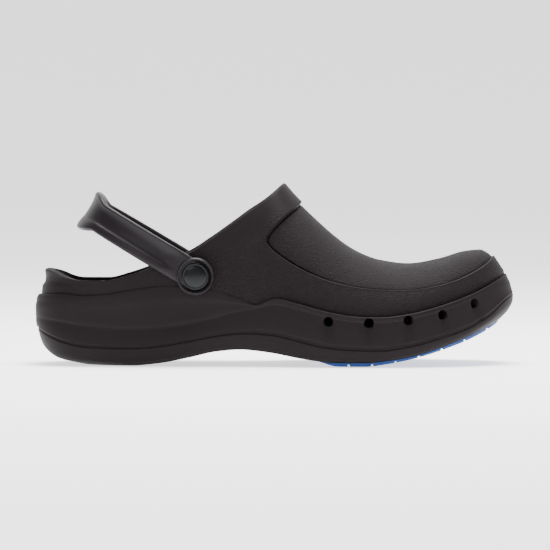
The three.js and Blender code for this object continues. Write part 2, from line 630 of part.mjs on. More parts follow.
// The rubber pad under the forefoot, with lugs between grooves that follow its curve.
function outsoleSolid() {
  const rear = PAD_AT.rear * LENGTH;
  const front = PAD_AT.front * LENGTH;
  const rounds = { heel: rear, toe: front, heelRound: PAD_REAR_ROUND };
  const padTop = (x) => Math.max(line.under(x) - CLEARANCE, line.tread(x) + PAD_LEAST);
  const bottom = outlineRing({ ...rounds, inset: PAD_INSET + PAD_DRAFT, height: line.tread });
  const top = outlineRing({ ...rounds, inset: PAD_INSET, height: padTop });
  let pad = solidOf(loft([bottom, top]));
  const groove = (from, to, low, high) => {
    const steps = Math.max(1, Math.round((to - from) / LUG_PITCH) * 2);
    const xs = Array.from({ length: steps + 1 }, (_, i) => mix(from, to, i / steps));
    const depth = xs.map((x) => [x, mix(line.tread(x), padTop(x), LUG_SHARE)]);
    return sidePrism([[from, -LUG_PITCH], [to, -LUG_PITCH], ...depth.reverse()], low, high);
  };
  for (let x = rear + 1.5 * LUG_PITCH; x < front - LUG_PITCH / 2; x += LUG_PITCH) {
    pad = pad.subtract(groove(x, x + LUG_GAP, -BALL_WIDTH, BALL_WIDTH));
  }
  for (const row of [-1, 1]) {
    const y = row * LUG_ROW_SPACING + line.axis(front) / 2;
    pad = pad.subtract(groove(rear + LUG_PITCH, front, y - LUG_GAP / 2, y + LUG_GAP / 2));
  }
  return pad;
}

// The loose footbed, dished towards its edge, on the floor of the body.
function insoleSolid() {
  const { floorRing } = innerRings();
  const centre = (point) => new THREE.Vector3(point.x, line.axis(point.x), point.z);
  const inward = (distance, lift) =>
    floorRing.map((point) => {
      const share = 1 - distance / Math.max(point.distanceTo(centre(point)), 2 * distance);
      const moved = centre(point).lerp(point, share);
      const x = moved.x + distance * (1 - (2 * point.x) / LENGTH);
      return new THREE.Vector3(x, moved.y, line.floor(x) + lift);
    });
  const edge = 2 * CLEARANCE;
  return solidOf(
    loft([
      inward(edge, CLEARANCE),
      inward(edge, INSOLE_THICKNESS + INSOLE_DISH),
      inward(edge + INSOLE_BEVEL, INSOLE_THICKNESS + INSOLE_DISH),
      inward(edge + INSOLE_SLOPE, INSOLE_THICKNESS),
    ]),
  );
}

// The strap's cross-section as offsets "out" from its mid surface and "up" its width. "flare" is 0 on
// the arms and 1 behind the heel, where both edges turn out, and "trough" sinks the outer face.
function strapSection(flare, trough) {
  const half = (STRAP_WIDTH + STRAP_BACK_FLARE * flare) / 2;
  const skin = STRAP_THICKNESS / 2;
  const rim = skin + STRAP_RIM * mix(BOSS_RIM_SHARE, 1, trough) * mix(1, BACK_RIM_SHARE, flare);
  const sunk = mix(rim, skin, trough);
  return STRAP_SECTION.map((row) => {
    const face = row.face === "outer" ? mix(sunk, rim, row.rim) : -skin;
    return { out: face + row.turn * STRAP_LIP * flare + row.edge * STRAP_EDGE, up: row.up * half };
  });
}

// The strap's frame: "back" runs from the pivot to the heel, "up" across its width.
const STRAP_BACK = new THREE.Vector3(-1, 0, 0).applyAxisAngle(
  new THREE.Vector3(0, 1, 0),
  degToRad(STRAP_RISE_ANGLE),
);
const STRAP_UP = new THREE.Vector3(0, 1, 0).cross(STRAP_BACK);
const STRAP_MIDDLE = (seatFace("medial") - seatFace("lateral")) / 2;
const STRAP_HALF_SPAN = (seatFace("medial") + seatFace("lateral")) / 2 + CLEARANCE + STRAP_THICKNESS / 2;

function strapPath(turn) {
  const power = 2 / STRAP_SQUARENESS;
  const back = STRAP_REACH * Math.max(Math.sin(turn), 0) ** power;
  const across = -STRAP_HALF_SPAN * Math.sign(Math.cos(turn)) * Math.abs(Math.cos(turn)) ** power;
  return PIVOT.clone()
    .addScaledVector(STRAP_BACK, back)
    .add(new THREE.Vector3(0, STRAP_MIDDLE + across, 0));
}

function strapRing(turn) {
  const step = PATH_STEP;
  const end = clamp(turn, step, Math.PI - step);
  const along = strapPath(end + step).sub(strapPath(end - step)).normalize();
  const outward = STRAP_UP.clone().cross(along).normalize();
  const spot = strapPath(turn);
  const back = spot.clone().sub(PIVOT).dot(STRAP_BACK);
  const flare = smoothstep(back / STRAP_REACH, STRAP_FLARE_FROM, 1);
  const trough = smoothstep(back, BOSS_RADIUS * TROUGH_FROM, BOSS_RADIUS * TROUGH_TO);
  return strapSection(flare, trough).map(({ out, up }) =>
    spot.clone().addScaledVector(outward, out).addScaledVector(STRAP_UP, up),
  );
}

// A closed band from rings of a few points: flat caps close its two ends.
function band(rings) {
  const count = rings[0].length;
  const index = [];
  rings.slice(1).forEach((_, row) => {
    for (let i = 0; i < count; i++) {
      const [a, b] = [row * count + i, row * count + ((i + 1) % count)];
      index.push(a, b, b + count, a, b + count, a + count);
    }
  });
  const top = (rings.length - 1) * count;
  const outline = strapSection(0, 0).map(({ out, up }) => new THREE.Vector2(out, up));
  for (const [a, b, c] of THREE.ShapeUtils.triangulateShape(outline, [])) {
    index.push(a, c, b, top + a, top + b, top + c);
  }
  return new THREE.BufferGeometry().setFromPoints(rings.flat()).setIndex(index);
}

function strapBoss(side) {
  const sign = side === "lateral" ? -1 : 1;
  const inner = seatFace(side) + CLEARANCE;
  const at = (y) => new THREE.Vector3(PIVOT.x, sign * y, PIVOT.z);
  return {
    disc: cylinder(BOSS_RADIUS, at(inner), at(inner + BOSS_DEPTH), WIDE_SIDES),
    hub: cylinder(HUB_RADIUS, at(upperWidth(PIVOT.x, side) + 2 * CLEARANCE), at(inner + 1)),
    cup: cylinder(CUP_RADIUS, at(inner + BOSS_DEPTH - CUP_DEPTH), at(inner + 2 * BOSS_DEPTH), WIDE_SIDES),
    hole: cylinder(SHANK_RADIUS + CLEARANCE, at(inner - BOSS_DEPTH), at(inner + 2 * BOSS_DEPTH)),
  };
}

function strapSolid() {
  const rings = Array.from({ length: STRAP_RINGS + 1 }, (_, i) =>
    strapRing((Math.PI * i) / STRAP_RINGS),
  );
  let strap = solidOf(band(rings));
  for (const side of ["lateral", "medial"]) {
    const { disc, hub, cup, hole } = strapBoss(side);
    strap = strap.add(disc).add(hub).subtract(cup).subtract(hole);
  }
  return strap;
}

// A button with its shank and the washer inside the upper, turned about the pivot's axis.
function buttonMesh(side) {
  const outer = seatFace(side) + CLEARANCE + BOSS_DEPTH - CUP_DEPTH + CLEARANCE;
  const washer = washerFace(side) - CLEARANCE;
  const profile = [
    [0, washer - WASHER_THICKNESS],
    [WASHER_RADIUS - BUTTON_BEVEL, washer - WASHER_THICKNESS],
    [WASHER_RADIUS, washer - WASHER_THICKNESS + BUTTON_BEVEL],
    [WASHER_RADIUS, washer],
    [SHANK_RADIUS, washer],
    [SHANK_RADIUS, outer],
    [BUTTON_RADIUS, outer],
    [BUTTON_RADIUS, outer + BUTTON_EDGE - BUTTON_BEVEL],
    [BUTTON_RADIUS - BUTTON_BEVEL, outer + BUTTON_EDGE],
    [BUTTON_RADIUS * DOME_SHOULDER.out, outer + BUTTON_EDGE + BUTTON_DOME * DOME_SHOULDER.up],
    [0, outer + BUTTON_EDGE + BUTTON_DOME],
  ].map(([r, y]) => new THREE.Vector2(r, y));
  const geometry = new THREE.LatheGeometry(profile, ROUND_SIDES);
  const mesh = new THREE.Mesh(geometryOf(solidOf(geometry)), GLOSS);
  mesh.name = `button_${side}`;
  mesh.position.copy(PIVOT);
  if (side === "lateral") mesh.rotation.z = Math.PI;
  return mesh;
}

function meshOf(name, solid, material) {
  const mesh = new THREE.Mesh(geometryOf(solid), material);
  mesh.name = name;
  return mesh;
}

const clog = new THREE.Group();
clog.add(meshOf("body", bodySolid(), EVA));
clog.add(meshOf("outsole", outsoleSolid(), RUBBER));
clog.add(meshOf("insole", insoleSolid(), LINING));
clog.add(meshOf("strap", strapSolid(), STRAP_EVA));
clog.add(buttonMesh("lateral"));
clog.add(buttonMesh("medial"));

// The middle of the whole clog goes over the origin.
const extent = new THREE.Box3().setFromObject(clog, true);
const middle = extent.getCenter(new THREE.Vector3());
clog.position.set(-middle.x, -middle.y, -extent.min.z);

export default clog;
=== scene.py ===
"""A moulded foam work clog for the right foot, standing on a pale studio floor.

Lengths in the tables are millimetres or shares of the clog's named sizes; meshes are in metres. +X runs
to the toe, +Y to the inner side of the foot and +Z up, as in the solids that the clog rides on.
"""

import logging
import math
from dataclasses import dataclass, field
from enum import Enum

import bmesh
import bpy
import numpy as np
from mathutils import Matrix, Vector


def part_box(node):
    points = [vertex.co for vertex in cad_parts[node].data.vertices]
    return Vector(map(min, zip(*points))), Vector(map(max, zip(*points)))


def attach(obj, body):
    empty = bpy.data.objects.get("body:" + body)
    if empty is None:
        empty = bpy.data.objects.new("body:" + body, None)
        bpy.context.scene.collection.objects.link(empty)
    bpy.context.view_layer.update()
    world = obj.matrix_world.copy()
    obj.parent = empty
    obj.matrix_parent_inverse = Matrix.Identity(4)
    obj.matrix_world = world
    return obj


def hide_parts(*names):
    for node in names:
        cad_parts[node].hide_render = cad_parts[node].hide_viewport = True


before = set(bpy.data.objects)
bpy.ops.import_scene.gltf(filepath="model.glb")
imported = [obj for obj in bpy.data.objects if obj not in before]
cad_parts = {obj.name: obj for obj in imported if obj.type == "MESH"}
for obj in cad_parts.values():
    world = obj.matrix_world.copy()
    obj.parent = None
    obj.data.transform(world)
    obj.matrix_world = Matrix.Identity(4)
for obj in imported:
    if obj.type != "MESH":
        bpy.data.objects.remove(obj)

logging.basicConfig(level=logging.INFO, format="%(message)s")
log = logging.getLogger("clog")

MM = 0.001
LENGTH = 290.0
BALL_WIDTH = 110.0
INSTEP_HEIGHT = 109.5
COLLAR_WALL = 4.2

# A number too small to matter, which keeps divisions away from zero.
TINY = 1e-9

# Corners closer than these, in metres, are welded: in a skin, in a turned piece, and along a sliver.
SKIN_WELD = 0.00002
TURNED_WELD = 0.00001
SLIVER = 0.000002


class Side(Enum):
    """The two sides of the foot, with the sign of Y on each."""

    LATERAL = -1
    MEDIAL = 1


class Finish(Enum):
    """The record's material slots."""

    EVA = "eva"
    STRAP = "strap_eva"
    RUBBER = "rubber"
    LINING = "lining"
    BUTTON = "button"


SECTION_COLUMNS = "at ledge lateral medial axis under sole crease rand ridge collar floor".split()
WIDTH_COLUMNS = ("ledge", "lateral", "medial", "axis")

# Sections from heel to toe: "at" is a share of LENGTH, the next four are shares of BALL_WIDTH, and the
# heights of the lines that run round the clog are shares of INSTEP_HEIGHT.
SECTIONS = (
    (0.00, 0.015, 0.345, 0.345, 0.000, 0.000, 0.205, 0.262, 0.377, 0.960, 0.519, 0.205),
    (0.03, 0.015, 0.347, 0.347, 0.000, 0.000, 0.161, 0.250, 0.385, 0.970, 0.508, 0.200),
    (0.06, 0.015, 0.350, 0.350, 0.000, 0.000, 0.129, 0.238, 0.386, 0.980, 0.484, 0.196),
    (0.10, 0.014, 0.352, 0.352, 0.000, 0.000, 0.105, 0.222, 0.378, 1.000, 0.467, 0.192),
    (0.15, 0.013, 0.354, 0.352, 0.000, 0.000, 0.097, 0.208, 0.386, 1.040, 0.467, 0.190),
    (0.20, 0.011, 0.356, 0.350, 0.000, 0.000, 0.094, 0.202, 0.408, 1.090, 0.498, 0.192),
    (0.26, 0.007, 0.358, 0.347, 0.000, 0.013, 0.105, 0.211, 0.427, 1.150, 0.553, 0.198),
    (0.32, 0.005, 0.361, 0.345, 0.000, 0.043, 0.132, 0.232, 0.429, 1.190, 0.611, 0.204),
    (0.38, 0.005, 0.367, 0.343, 0.000, 0.078, 0.162, 0.268, 0.403, 1.190, 0.711, 0.206),
    (0.43, 0.010, 0.378, 0.347, 0.000, 0.089, 0.177, 0.305, 0.363, 1.150, 0.806, 0.202),
    (0.46, 0.016, 0.388, 0.356, 0.000, 0.083, 0.176, 0.318, 0.334, 1.100, 0.865, 0.197),
    (0.50, 0.024, 0.411, 0.376, 0.000, 0.069, 0.166, 0.340, 0.371, 1.050, 0.943, 0.188),
    (0.55, 0.030, 0.446, 0.411, 0.000, 0.044, 0.135, 0.314, 0.342, 0.914, 1.055, 0.170),
    (0.60, 0.032, 0.478, 0.450, 0.000, 0.026, 0.105, 0.278, 0.306, 0.782, 1.160, 0.150),
    (0.63, 0.033, 0.490, 0.472, 0.001, 0.022, 0.095, 0.262, 0.289, 0.711, 1.220, 0.143),
    (0.66, 0.033, 0.497, 0.488, 0.002, 0.022, 0.090, 0.250, 0.277, 0.653, 1.280, 0.141),
    (0.69, 0.033, 0.500, 0.498, 0.004, 0.022, 0.087, 0.245, 0.272, 0.612, 1.340, 0.143),
    (0.72, 0.033, 0.499, 0.500, 0.007, 0.029, 0.087, 0.245, 0.272, 0.585, 1.400, 0.149),
    (0.78, 0.033, 0.490, 0.494, 0.015, 0.053, 0.109, 0.264, 0.291, 0.565, 1.500, 0.172),
    (0.84, 0.033, 0.472, 0.478, 0.027, 0.099, 0.150, 0.302, 0.330, 0.590, 1.600, 0.212),
    (0.90, 0.033, 0.455, 0.458, 0.043, 0.157, 0.202, 0.356, 0.384, 0.634, 1.700, 0.268),
    (0.93, 0.032, 0.448, 0.448, 0.052, 0.193, 0.243, 0.389, 0.419, 0.641, 1.750, 0.300),
    (0.95, 0.031, 0.443, 0.443, 0.058, 0.219, 0.277, 0.414, 0.446, 0.618, 1.800, 0.322),
    (0.98, 0.030, 0.438, 0.438, 0.066, 0.262, 0.350, 0.440, 0.488, 0.514, 1.850, 0.356),
    (1.00, 0.030, 0.436, 0.436, 0.070, 0.290, 0.386, 0.455, 0.512, 0.440, 1.900, 0.380),
)

# Rings round the wall from the upper down to the underside: where each ends at heel and toe, how far it
# lies inside the widest outline, and its height, a share of the way from one line to another.
WALL_RINGS = (
    (0.0000, 0.9885, 0.6, "crease", "rand", 0.50),
    (0.0002, 0.9920, 0.7, "crease", "rand", 0.10),
    (0.0006, 0.9932, 1.1, "sole", "crease", 0.98),
    (0.0005, 0.9950, 0.6, "sole", "crease", 0.68),
    (0.0015, 0.9978, 0.1, "sole", "crease", 0.30),
    (0.0020, 0.9992, 0.1, "sole", "crease", 0.17),
    (0.0055, 0.9986, 1.1, "sole", "crease", 0.12),
    (0.0060, 0.9986, 1.1, "sole", "crease", 0.03),
    (0.0055, 0.9998, 0.6, "under", "sole", 0.97),
    (0.0140, 0.9990, 1.1, "under", "sole", 0.62),
    (0.0450, 0.9905, 2.6, "under", "sole", 0.24),
    (0.0980, 0.9760, 5.6, "under", "sole", 0.00),
)

# Where the upper meets the wall at heel and toe, and where the wall's top edge ends at the toe.
UPPER_HEEL = 0.0125 * LENGTH
UPPER_TOE = 0.9800 * LENGTH
WALL_TOE = 0.9880 * LENGTH

# The rounded edge of the wall under the upper: height between crease and edge, and share of the ledge.
EDGE_RINGS = ((1.03, 0.75), (1.03, 0.55), (0.98, 0.36), (0.88, 0.22), (0.74, 0.17))

# How far the heel's back leans in, at shares of the way from the wall up to the rim.
HEEL_BACK = ((0.0, 0.0), (0.35, 0.6), (0.55, 2.3), (0.75, 2.6), (1.0, 2.2))

# The lowered panel over the toes, seen from the side, in shares of LENGTH and INSTEP_HEIGHT.
PANEL_OUTLINE = (
    (0.556, 0.886), (0.528, 0.832), (0.502, 0.771), (0.487, 0.727), (0.482, 0.694),
    (0.484, 0.668), (0.502, 0.622), (0.535, 0.562), (0.573, 0.509), (0.618, 0.463),
    (0.670, 0.433), (0.725, 0.421), (0.780, 0.418), (0.840, 0.441), (0.890, 0.482),
    (0.932, 0.540), (0.958, 0.590), (0.990, 0.680), (0.800, 1.000), (0.620, 1.050),
)

# Where the vents come out: shares of LENGTH and INSTEP_HEIGHT, and the scoop's slant in degrees.
VENTS = (
    (0.610, 0.248, 0.0),
    (0.694, 0.241, 2.0),
    (0.775, 0.255, 5.0),
    (0.847, 0.284, 12.0),
    (0.915, 0.343, 22.0),
)

# The strap's cross-section: on the outer face or not, share of the half width, share of the rim's height,
# share of the lip that it follows behind the heel, and how far the corner is rounded off.
STRAP_SECTION = (
    (True, -1.00, 1.00, 1.0, -1.0),
    (True, -0.88, 1.00, 1.0, 0.0),
    (True, -0.53, 1.00, 0.4, 0.0),
    (True, -0.32, 0.30, 0.0, 0.0),
    (True, -0.06, 0.00, 0.0, 0.0),
    (True, 0.38, 0.00, 0.0, 0.0),
    (True, 0.69, 0.45, 0.3, 0.0),
    (True, 0.88, 1.00, 1.0, 0.0),
    (True, 1.00, 1.00, 1.0, -1.0),
    (False, 1.00, 0.00, 0.8, 0.8),
    (False, 0.80, 0.00, 0.2, 0.0),
    (False, -0.80, 0.00, 0.2, 0.0),
    (False, -1.00, 0.00, 0.8, 0.8),
)


class Curve:
    """A smooth curve through a few values, whose slopes never overshoot."""

    def __init__(self, keys: np.ndarray, values: np.ndarray) -> None:
        """Fits the curve.

        Args:
            keys: where the values are, rising.
            values: one value, or one row of values, for each key.
        """
        self.keys = np.asarray(keys, float)
        self.values = np.asarray(values, float)
        shape = (-1,) + (1,) * (self.values.ndim - 1)
        self.span = np.diff(self.keys).reshape(shape)
        rise = np.diff(self.values, axis=0) / self.span
        before, after = rise[:-1], rise[1:]
        total = np.where(before + after == 0, 1.0, before + after)
        inner = np.where(before * after > 0, 2 * before * after / total, 0.0)
        self.slopes = np.concatenate([rise[:1], inner, rise[-1:]])

    def __call__(self, at: np.ndarray) -> np.ndarray:
        """Values of the curve.

        Args:
            at: places along the keys.

        Returns:
            The values there.
        """
        x = np.clip(np.asarray(at, float), self.keys[0], self.keys[-1])
        i = np.clip(np.searchsorted(self.keys, x, side="right") - 1, 0, len(self.keys) - 2)
        t = (x - self.keys[i]) / np.diff(self.keys)[i]
        extra = self.values.ndim - 1
        span = self.span[i]
        t = t.reshape(t.shape + (1,) * extra)
        span = span.reshape(t.shape)
        t2, t3 = t * t, t * t * t
        return (
            self.values[i] * (2 * t3 - 3 * t2 + 1)
            + self.values[i + 1] * (3 * t2 - 2 * t3)
            + span * (self.slopes[i] * (t3 - 2 * t2 + t) + self.slopes[i + 1] * (t3 - t2))
        )


def smoothstep(x: np.ndarray, low: float, high: float) -> np.ndarray:
    """A soft step from 0 at low to 1 at high.

    Args:
        x: places.
        low: where the step starts.
        high: where it ends.

    Returns:
        The step's value at each place.
    """
    t = np.clip((np.asarray(x, float) - low) / (high - low), 0.0, 1.0)
    return t * t * (3 - 2 * t)


def side_distance(points: np.ndarray, outline: np.ndarray) -> np.ndarray:
    """Signed distance to a closed outline in the side view, positive inside.

    Args:
        points: an array of (x, z) pairs in millimetres.
        outline: the outline's corners in order, in millimetres.

    Returns:
        A distance for each point.
    """
    nearest = np.full(len(points), np.inf)
    inside = np.zeros(len(points), bool)
    for a, b in zip(outline, np.roll(outline, -1, axis=0)):
        along = b - a
        share = np.clip(((points - a) @ along) / max(along @ along, TINY), 0.0, 1.0)
        nearest = np.minimum(nearest, np.linalg.norm(points - a - share[:, None] * along, axis=1))
        crosses = (a[1] > points[:, 1]) != (b[1] > points[:, 1])
        rise = b[1] - a[1] if b[1] != a[1] else TINY
        inside ^= crosses & (points[:, 0] < a[0] + (points[:, 1] - a[1]) * along[0] / rise)
    return np.where(inside, nearest, -nearest)


def rounded(corners: np.ndarray, times: int) -> np.ndarray:
    """A closed outline with its corners cut off again and again.

    Args:
        corners: the outline's corners in order.
        times: how many rounds of cutting.

    Returns:
        The smoother outline.
    """
    for _ in range(times):
        ahead = np.roll(corners, -1, axis=0)
        cut = [0.75 * corners + 0.25 * ahead, 0.25 * corners + 0.75 * ahead]
        corners = np.stack(cut, axis=1).reshape(-1, corners.shape[1])
    return corners


@dataclass(frozen=True)
class Placing:
    """How a clog that starts at its heel is moved so that the origin lies under its middle."""

    shift: Vector

    def apply(self, points: np.ndarray) -> np.ndarray:
        """Places points.

        Args:
            points: millimetres from the heel.

        Returns:
            Metres in the clog's own frame.
        """
        return points * MM + np.array(self.shift)


@dataclass
class Last:
    """The form that the clog is moulded on, as curves from heel to toe."""

    heel_round: float = 40.0
    heel_power: float = 2.2
    toe_round: float = 70.0
    toe_power: float = 2.3
    heel_lean_reach: float = 26.0
    throat_between: tuple[float, float] = (0.4, 0.6)
    throat_closeness: float = 1e-6
    least_rise: float = 1e-3
    pole_share: float = 0.99999
    fullness: float = 0.94
    plan_from: float = 0.62
    plan_to: float = 0.92
    columns: int = 340
    toe_crowd: float = 0.9
    curves: dict[str, Curve] = field(default_factory=dict)

    def __post_init__(self) -> None:
        """Turns the table of sections into curves."""
        table = np.array(SECTIONS)
        for n, name in enumerate(SECTION_COLUMNS[1:], 1):
            scale = BALL_WIDTH if name in WIDTH_COLUMNS else INSTEP_HEIGHT
            self.curves[name] = Curve(table[:, 0] * LENGTH, table[:, n] * scale)
        lean = np.array(HEEL_BACK)
        self.lean = Curve(lean[:, 0], lean[:, 1])
        half = self.columns // 2
        ahead = np.pi * (np.arange(half + 1) / half) ** self.toe_crowd
        turn = np.concatenate([ahead, 2 * np.pi - ahead[-2::-1]])
        self.share = (1 - np.cos(turn)) / 2
        self.sign = np.where(turn <= np.pi + TINY, -1.0, 1.0)
        self.throat = self.find_throat()

    def find_throat(self) -> float:
        """Where the collar meets the ridge over the instep, found by halving.

        Returns:
            The place, in millimetres from the heel.
        """
        low, high = (share * LENGTH for share in self.throat_between)
        while high - low > self.throat_closeness:
            middle = (low + high) / 2
            over = self["ridge"](middle) > self["collar"](middle)
            low, high = (middle, high) if over else (low, middle)
        return (low + high) / 2

    def __getitem__(self, name: str) -> Curve:
        """The curve of one column of the table."""
        return self.curves[name]

    def half_width(
        self, x: np.ndarray, sign: np.ndarray, heel: float, toe: float, inset: np.ndarray
    ) -> np.ndarray:
        """Half width of an outline with rounded ends.

        Args:
            x: places from the heel.
            sign: the side of each place.
            heel: where the outline ends at the back.
            toe: where it ends at the front.
            inset: how far it lies inside the widest outline.

        Returns:
            The half width at each place.
        """
        back = np.clip((x - heel) / self.heel_round, 0.0, 1.0)
        front = np.clip((toe - x) / self.toe_round, 0.0, 1.0)
        full = np.where(sign < 0, self["lateral"](x), self["medial"](x)) - inset
        heel_end = (1 - (1 - back) ** self.heel_power) ** (1 / self.heel_power)
        toe_end = (1 - (1 - front) ** self.toe_power) ** (1 / self.toe_power)
        return full * (heel_end * toe_end)

    def outline(self, heel: float, toe: float, inset: float, height: Curve) -> np.ndarray:
        """One ring round the clog.

        Args:
            heel: where it ends at the back.
            toe: where it ends at the front.
            inset: how far it lies inside the widest outline.
            height: its height along the clog.

        Returns:
            The ring's points.
        """
        x = heel + (toe - heel) * self.share
        y = self.sign * self.half_width(x, self.sign, heel, toe, inset) + self["axis"](x)
        return np.stack([x, y, height(x)], axis=1)

    def wall_ring(self, row: tuple) -> np.ndarray:
        """A ring of the wall.

        Args:
            row: a row of WALL_RINGS.

        Returns:
            The ring's points.
        """
        heel, toe, inset, low, high, share = row

        def height(x: np.ndarray) -> np.ndarray:
            """Height of the ring."""
            return (1 - share) * self[low](x) + share * self[high](x)

        return self.outline(heel * LENGTH, toe * LENGTH, inset, height)

    def upper_ring(self, up: float) -> np.ndarray:
        """A ring of the upper's outer face.

        Args:
            up: 0 at the wall, 1 at the collar.

        Returns:
            The ring's points.
        """

        def width(x: np.ndarray) -> np.ndarray:
            """Half width of the upper where it meets the wall."""
            return self.half_width(x, self.sign, UPPER_HEEL, UPPER_TOE, self["ledge"](x))

        def rise(x: np.ndarray) -> np.ndarray:
            """Height of the closed last over the wall."""
            return np.maximum(self["ridge"](x) - self["rand"](x), self.least_rise)

        start = UPPER_HEEL + (UPPER_TOE - UPPER_HEEL) * self.share
        end = UPPER_HEEL + (self.throat - UPPER_HEEL) * self.share
        reach = np.clip((self["collar"](end) - self["rand"](end)) / rise(end), 0.0, 1.0)
        at_pole = self.share > self.pole_share
        last = np.where(at_pole, np.pi / 2, np.arcsin(reach ** (1 / self.fullness)))
        ease = 1 - math.cos(up * math.pi / 2)
        x = start + (end - start) * ease
        rim = np.maximum(np.cos(last), 0.0) ** self.fullness
        across = width(start) + (width(end) * rim - width(start)) * ease
        ratio = np.clip(across / np.maximum(width(x), TINY), 0.0, 1 + (rim - 1) * ease)
        in_plan = np.arccos(ratio ** (1 / self.fullness))
        blend = smoothstep(self.share, self.plan_from, self.plan_to)
        angle = (1 - blend) * up * last + blend * in_plan
        y = width(x) * np.maximum(np.cos(angle), 0.0) ** self.fullness
        z = self["rand"](x) + rise(x) * np.sin(angle) ** self.fullness
        near_heel = 1 - smoothstep(x - UPPER_HEEL, 0.0, self.heel_lean_reach)
        back = float(self.lean(np.array(up))) * near_heel
        return np.stack([x + back, self.sign * y + self["axis"](x), z], axis=1)


def srgb(code: str) -> tuple[float, float, float, float]:
    """A colour written as six hex digits, in linear light.

    Args:
        code: the colour.

    Returns:
        Red, green, blue and full cover.
    """
    parts = [int(code[i : i + 2], 16) / 255 for i in (0, 2, 4)]
    light = [c / 12.92 if c <= 0.04045 else ((c + 0.055) / 1.055) ** 2.4 for c in parts]
    return (*light, 1.0)


def add_node(
    tree: bpy.types.NodeTree,
    kind: str,
    settings: dict[str, object] | None = None,
    inputs: dict[str, object] | None = None,
) -> bpy.types.Node:
    """Adds a node with its settings and links.

    Args:
        tree: the tree it goes into.
        kind: the node's type.
        settings: its own settings.
        inputs: a value or another node's output for each named input.

    Returns:
        The node.
    """
    node = tree.nodes.new(kind)
    for name, value in (settings or {}).items():
        setattr(node, name, value)
    for name, value in (inputs or {}).items():
        if isinstance(value, bpy.types.NodeSocket):
            tree.links.new(value, node.inputs[name])
        else:
            node.inputs[name].default_value = value
    return node


@dataclass(frozen=True)
class Surface:
    """The look of one moulded or rubber surface."""

    name: str
    colour: str
    roughness: float
    specular: float = 0.4
    coat: float = 0.0
    grain_mm: float = 0.0
    grain_height: float = 0.0
    masked: bool = False
    cloud: float = 0.08
    cloud_scale: float = 60.0
    coat_roughness: float = 0.08
    cell_smoothness: float = 0.6
    fine_scale: float = 2.6
    fine_share: float = 0.5

    def material(self) -> bpy.types.Material:
        """Builds the material.

        Returns:
            A material with soft unevenness in its gloss, and a grain where the surface has one.
        """
        made = bpy.data.materials.new(self.name)
        made.use_nodes = True
        tree = made.node_tree
        shader = tree.nodes["Principled BSDF"]
        shader.inputs["Base Color"].default_value = srgb(self.colour)
        shader.inputs["Specular IOR Level"].default_value = self.specular
        shader.inputs["Coat Weight"].default_value = self.coat
        shader.inputs["Coat Roughness"].default_value = self.coat_roughness
        where = add_node(tree, "ShaderNodeTexCoord").outputs["Object"]
        # Broad faint patches keep the gloss from looking like one flat value.
        wide = {"Vector": where, "Scale": self.cloud_scale, "Detail": 3.0}
        patches = add_node(tree, "ShaderNodeTexNoise", inputs=wide)
        between = {
            "Value": patches.outputs["Fac"],
            "To Min": self.roughness - self.cloud,
            "To Max": self.roughness + self.cloud,
        }
        spread = add_node(tree, "ShaderNodeMapRange", inputs=between)
        tree.links.new(spread.outputs["Result"], shader.inputs["Roughness"])
        if self.grain_mm:
            self.add_grain(tree, where, shader)
        return made

    def add_grain(
        self, tree: bpy.types.NodeTree, where: bpy.types.NodeSocket, shader: bpy.types.Node
    ) -> None:
        """Gives the surface its moulded grain, small rounded cells with fine noise.

        Args:
            tree: the material's tree.
            where: object coordinates.
            shader: the surface shader.
        """
        scale = 1 / (self.grain_mm * MM)
        rounded_cells = {"Vector": where, "Scale": scale, "Smoothness": self.cell_smoothness}
        cells = add_node(tree, "ShaderNodeTexVoronoi", {"feature": "SMOOTH_F1"}, rounded_cells)
        fine_noise = {"Vector": where, "Scale": self.fine_scale * scale, "Detail": 2.0}
        fine = add_node(tree, "ShaderNodeTexNoise", inputs=fine_noise)
        parts = {0: fine.outputs["Fac"], 1: self.fine_share, 2: cells.outputs["Distance"]}
        both = add_node(tree, "ShaderNodeMath", {"operation": "MULTIPLY_ADD"}, parts)
        height = both.outputs["Value"]
        if self.masked:
            mask = add_node(tree, "ShaderNodeAttribute", {"attribute_name": "grain"})
            parts = {0: height, 1: mask.outputs["Fac"]}
            kept = add_node(tree, "ShaderNodeMath", {"operation": "MULTIPLY"}, parts)
            height = kept.outputs["Value"]
        relief = {"Strength": 1.0, "Distance": self.grain_height * MM, "Height": height}
        bump = add_node(tree, "ShaderNodeBump", inputs=relief)
        tree.links.new(bump.outputs["Normal"], shader.inputs["Normal"])


LOOKS = {
    # Moulded foam: nearly black, warm, dull, with a leather-like grain on its panels only.
    Finish.EVA: Surface(
        "moulded_foam",
        "1b1718",
        roughness=0.55,
        specular=0.06,
        grain_mm=0.85,
        grain_height=0.5,
        masked=True,
    ),
    # The strap's foam is smooth and a little glossier.
    Finish.STRAP: Surface(
        "strap_foam", "1b171a", roughness=0.36, specular=0.15, grain_mm=0.35, grain_height=0.02
    ),
    # Blue rubber with a faint bloom.
    Finish.RUBBER: Surface(
        "blue_rubber", "193e7e", roughness=0.45, specular=0.25, grain_mm=0.5, grain_height=0.03
    ),
    # The footbed is dull foam.
    Finish.LINING: Surface(
        "footbed_foam", "1d1c1d", roughness=0.8, specular=0.3, grain_mm=0.6, grain_height=0.08
    ),
    # The buttons are polished hard plastic.
    Finish.BUTTON: Surface(
        "polished_button", "07090c", roughness=0.3, specular=0.18, coat=0.05, cloud=0.03
    ),
}


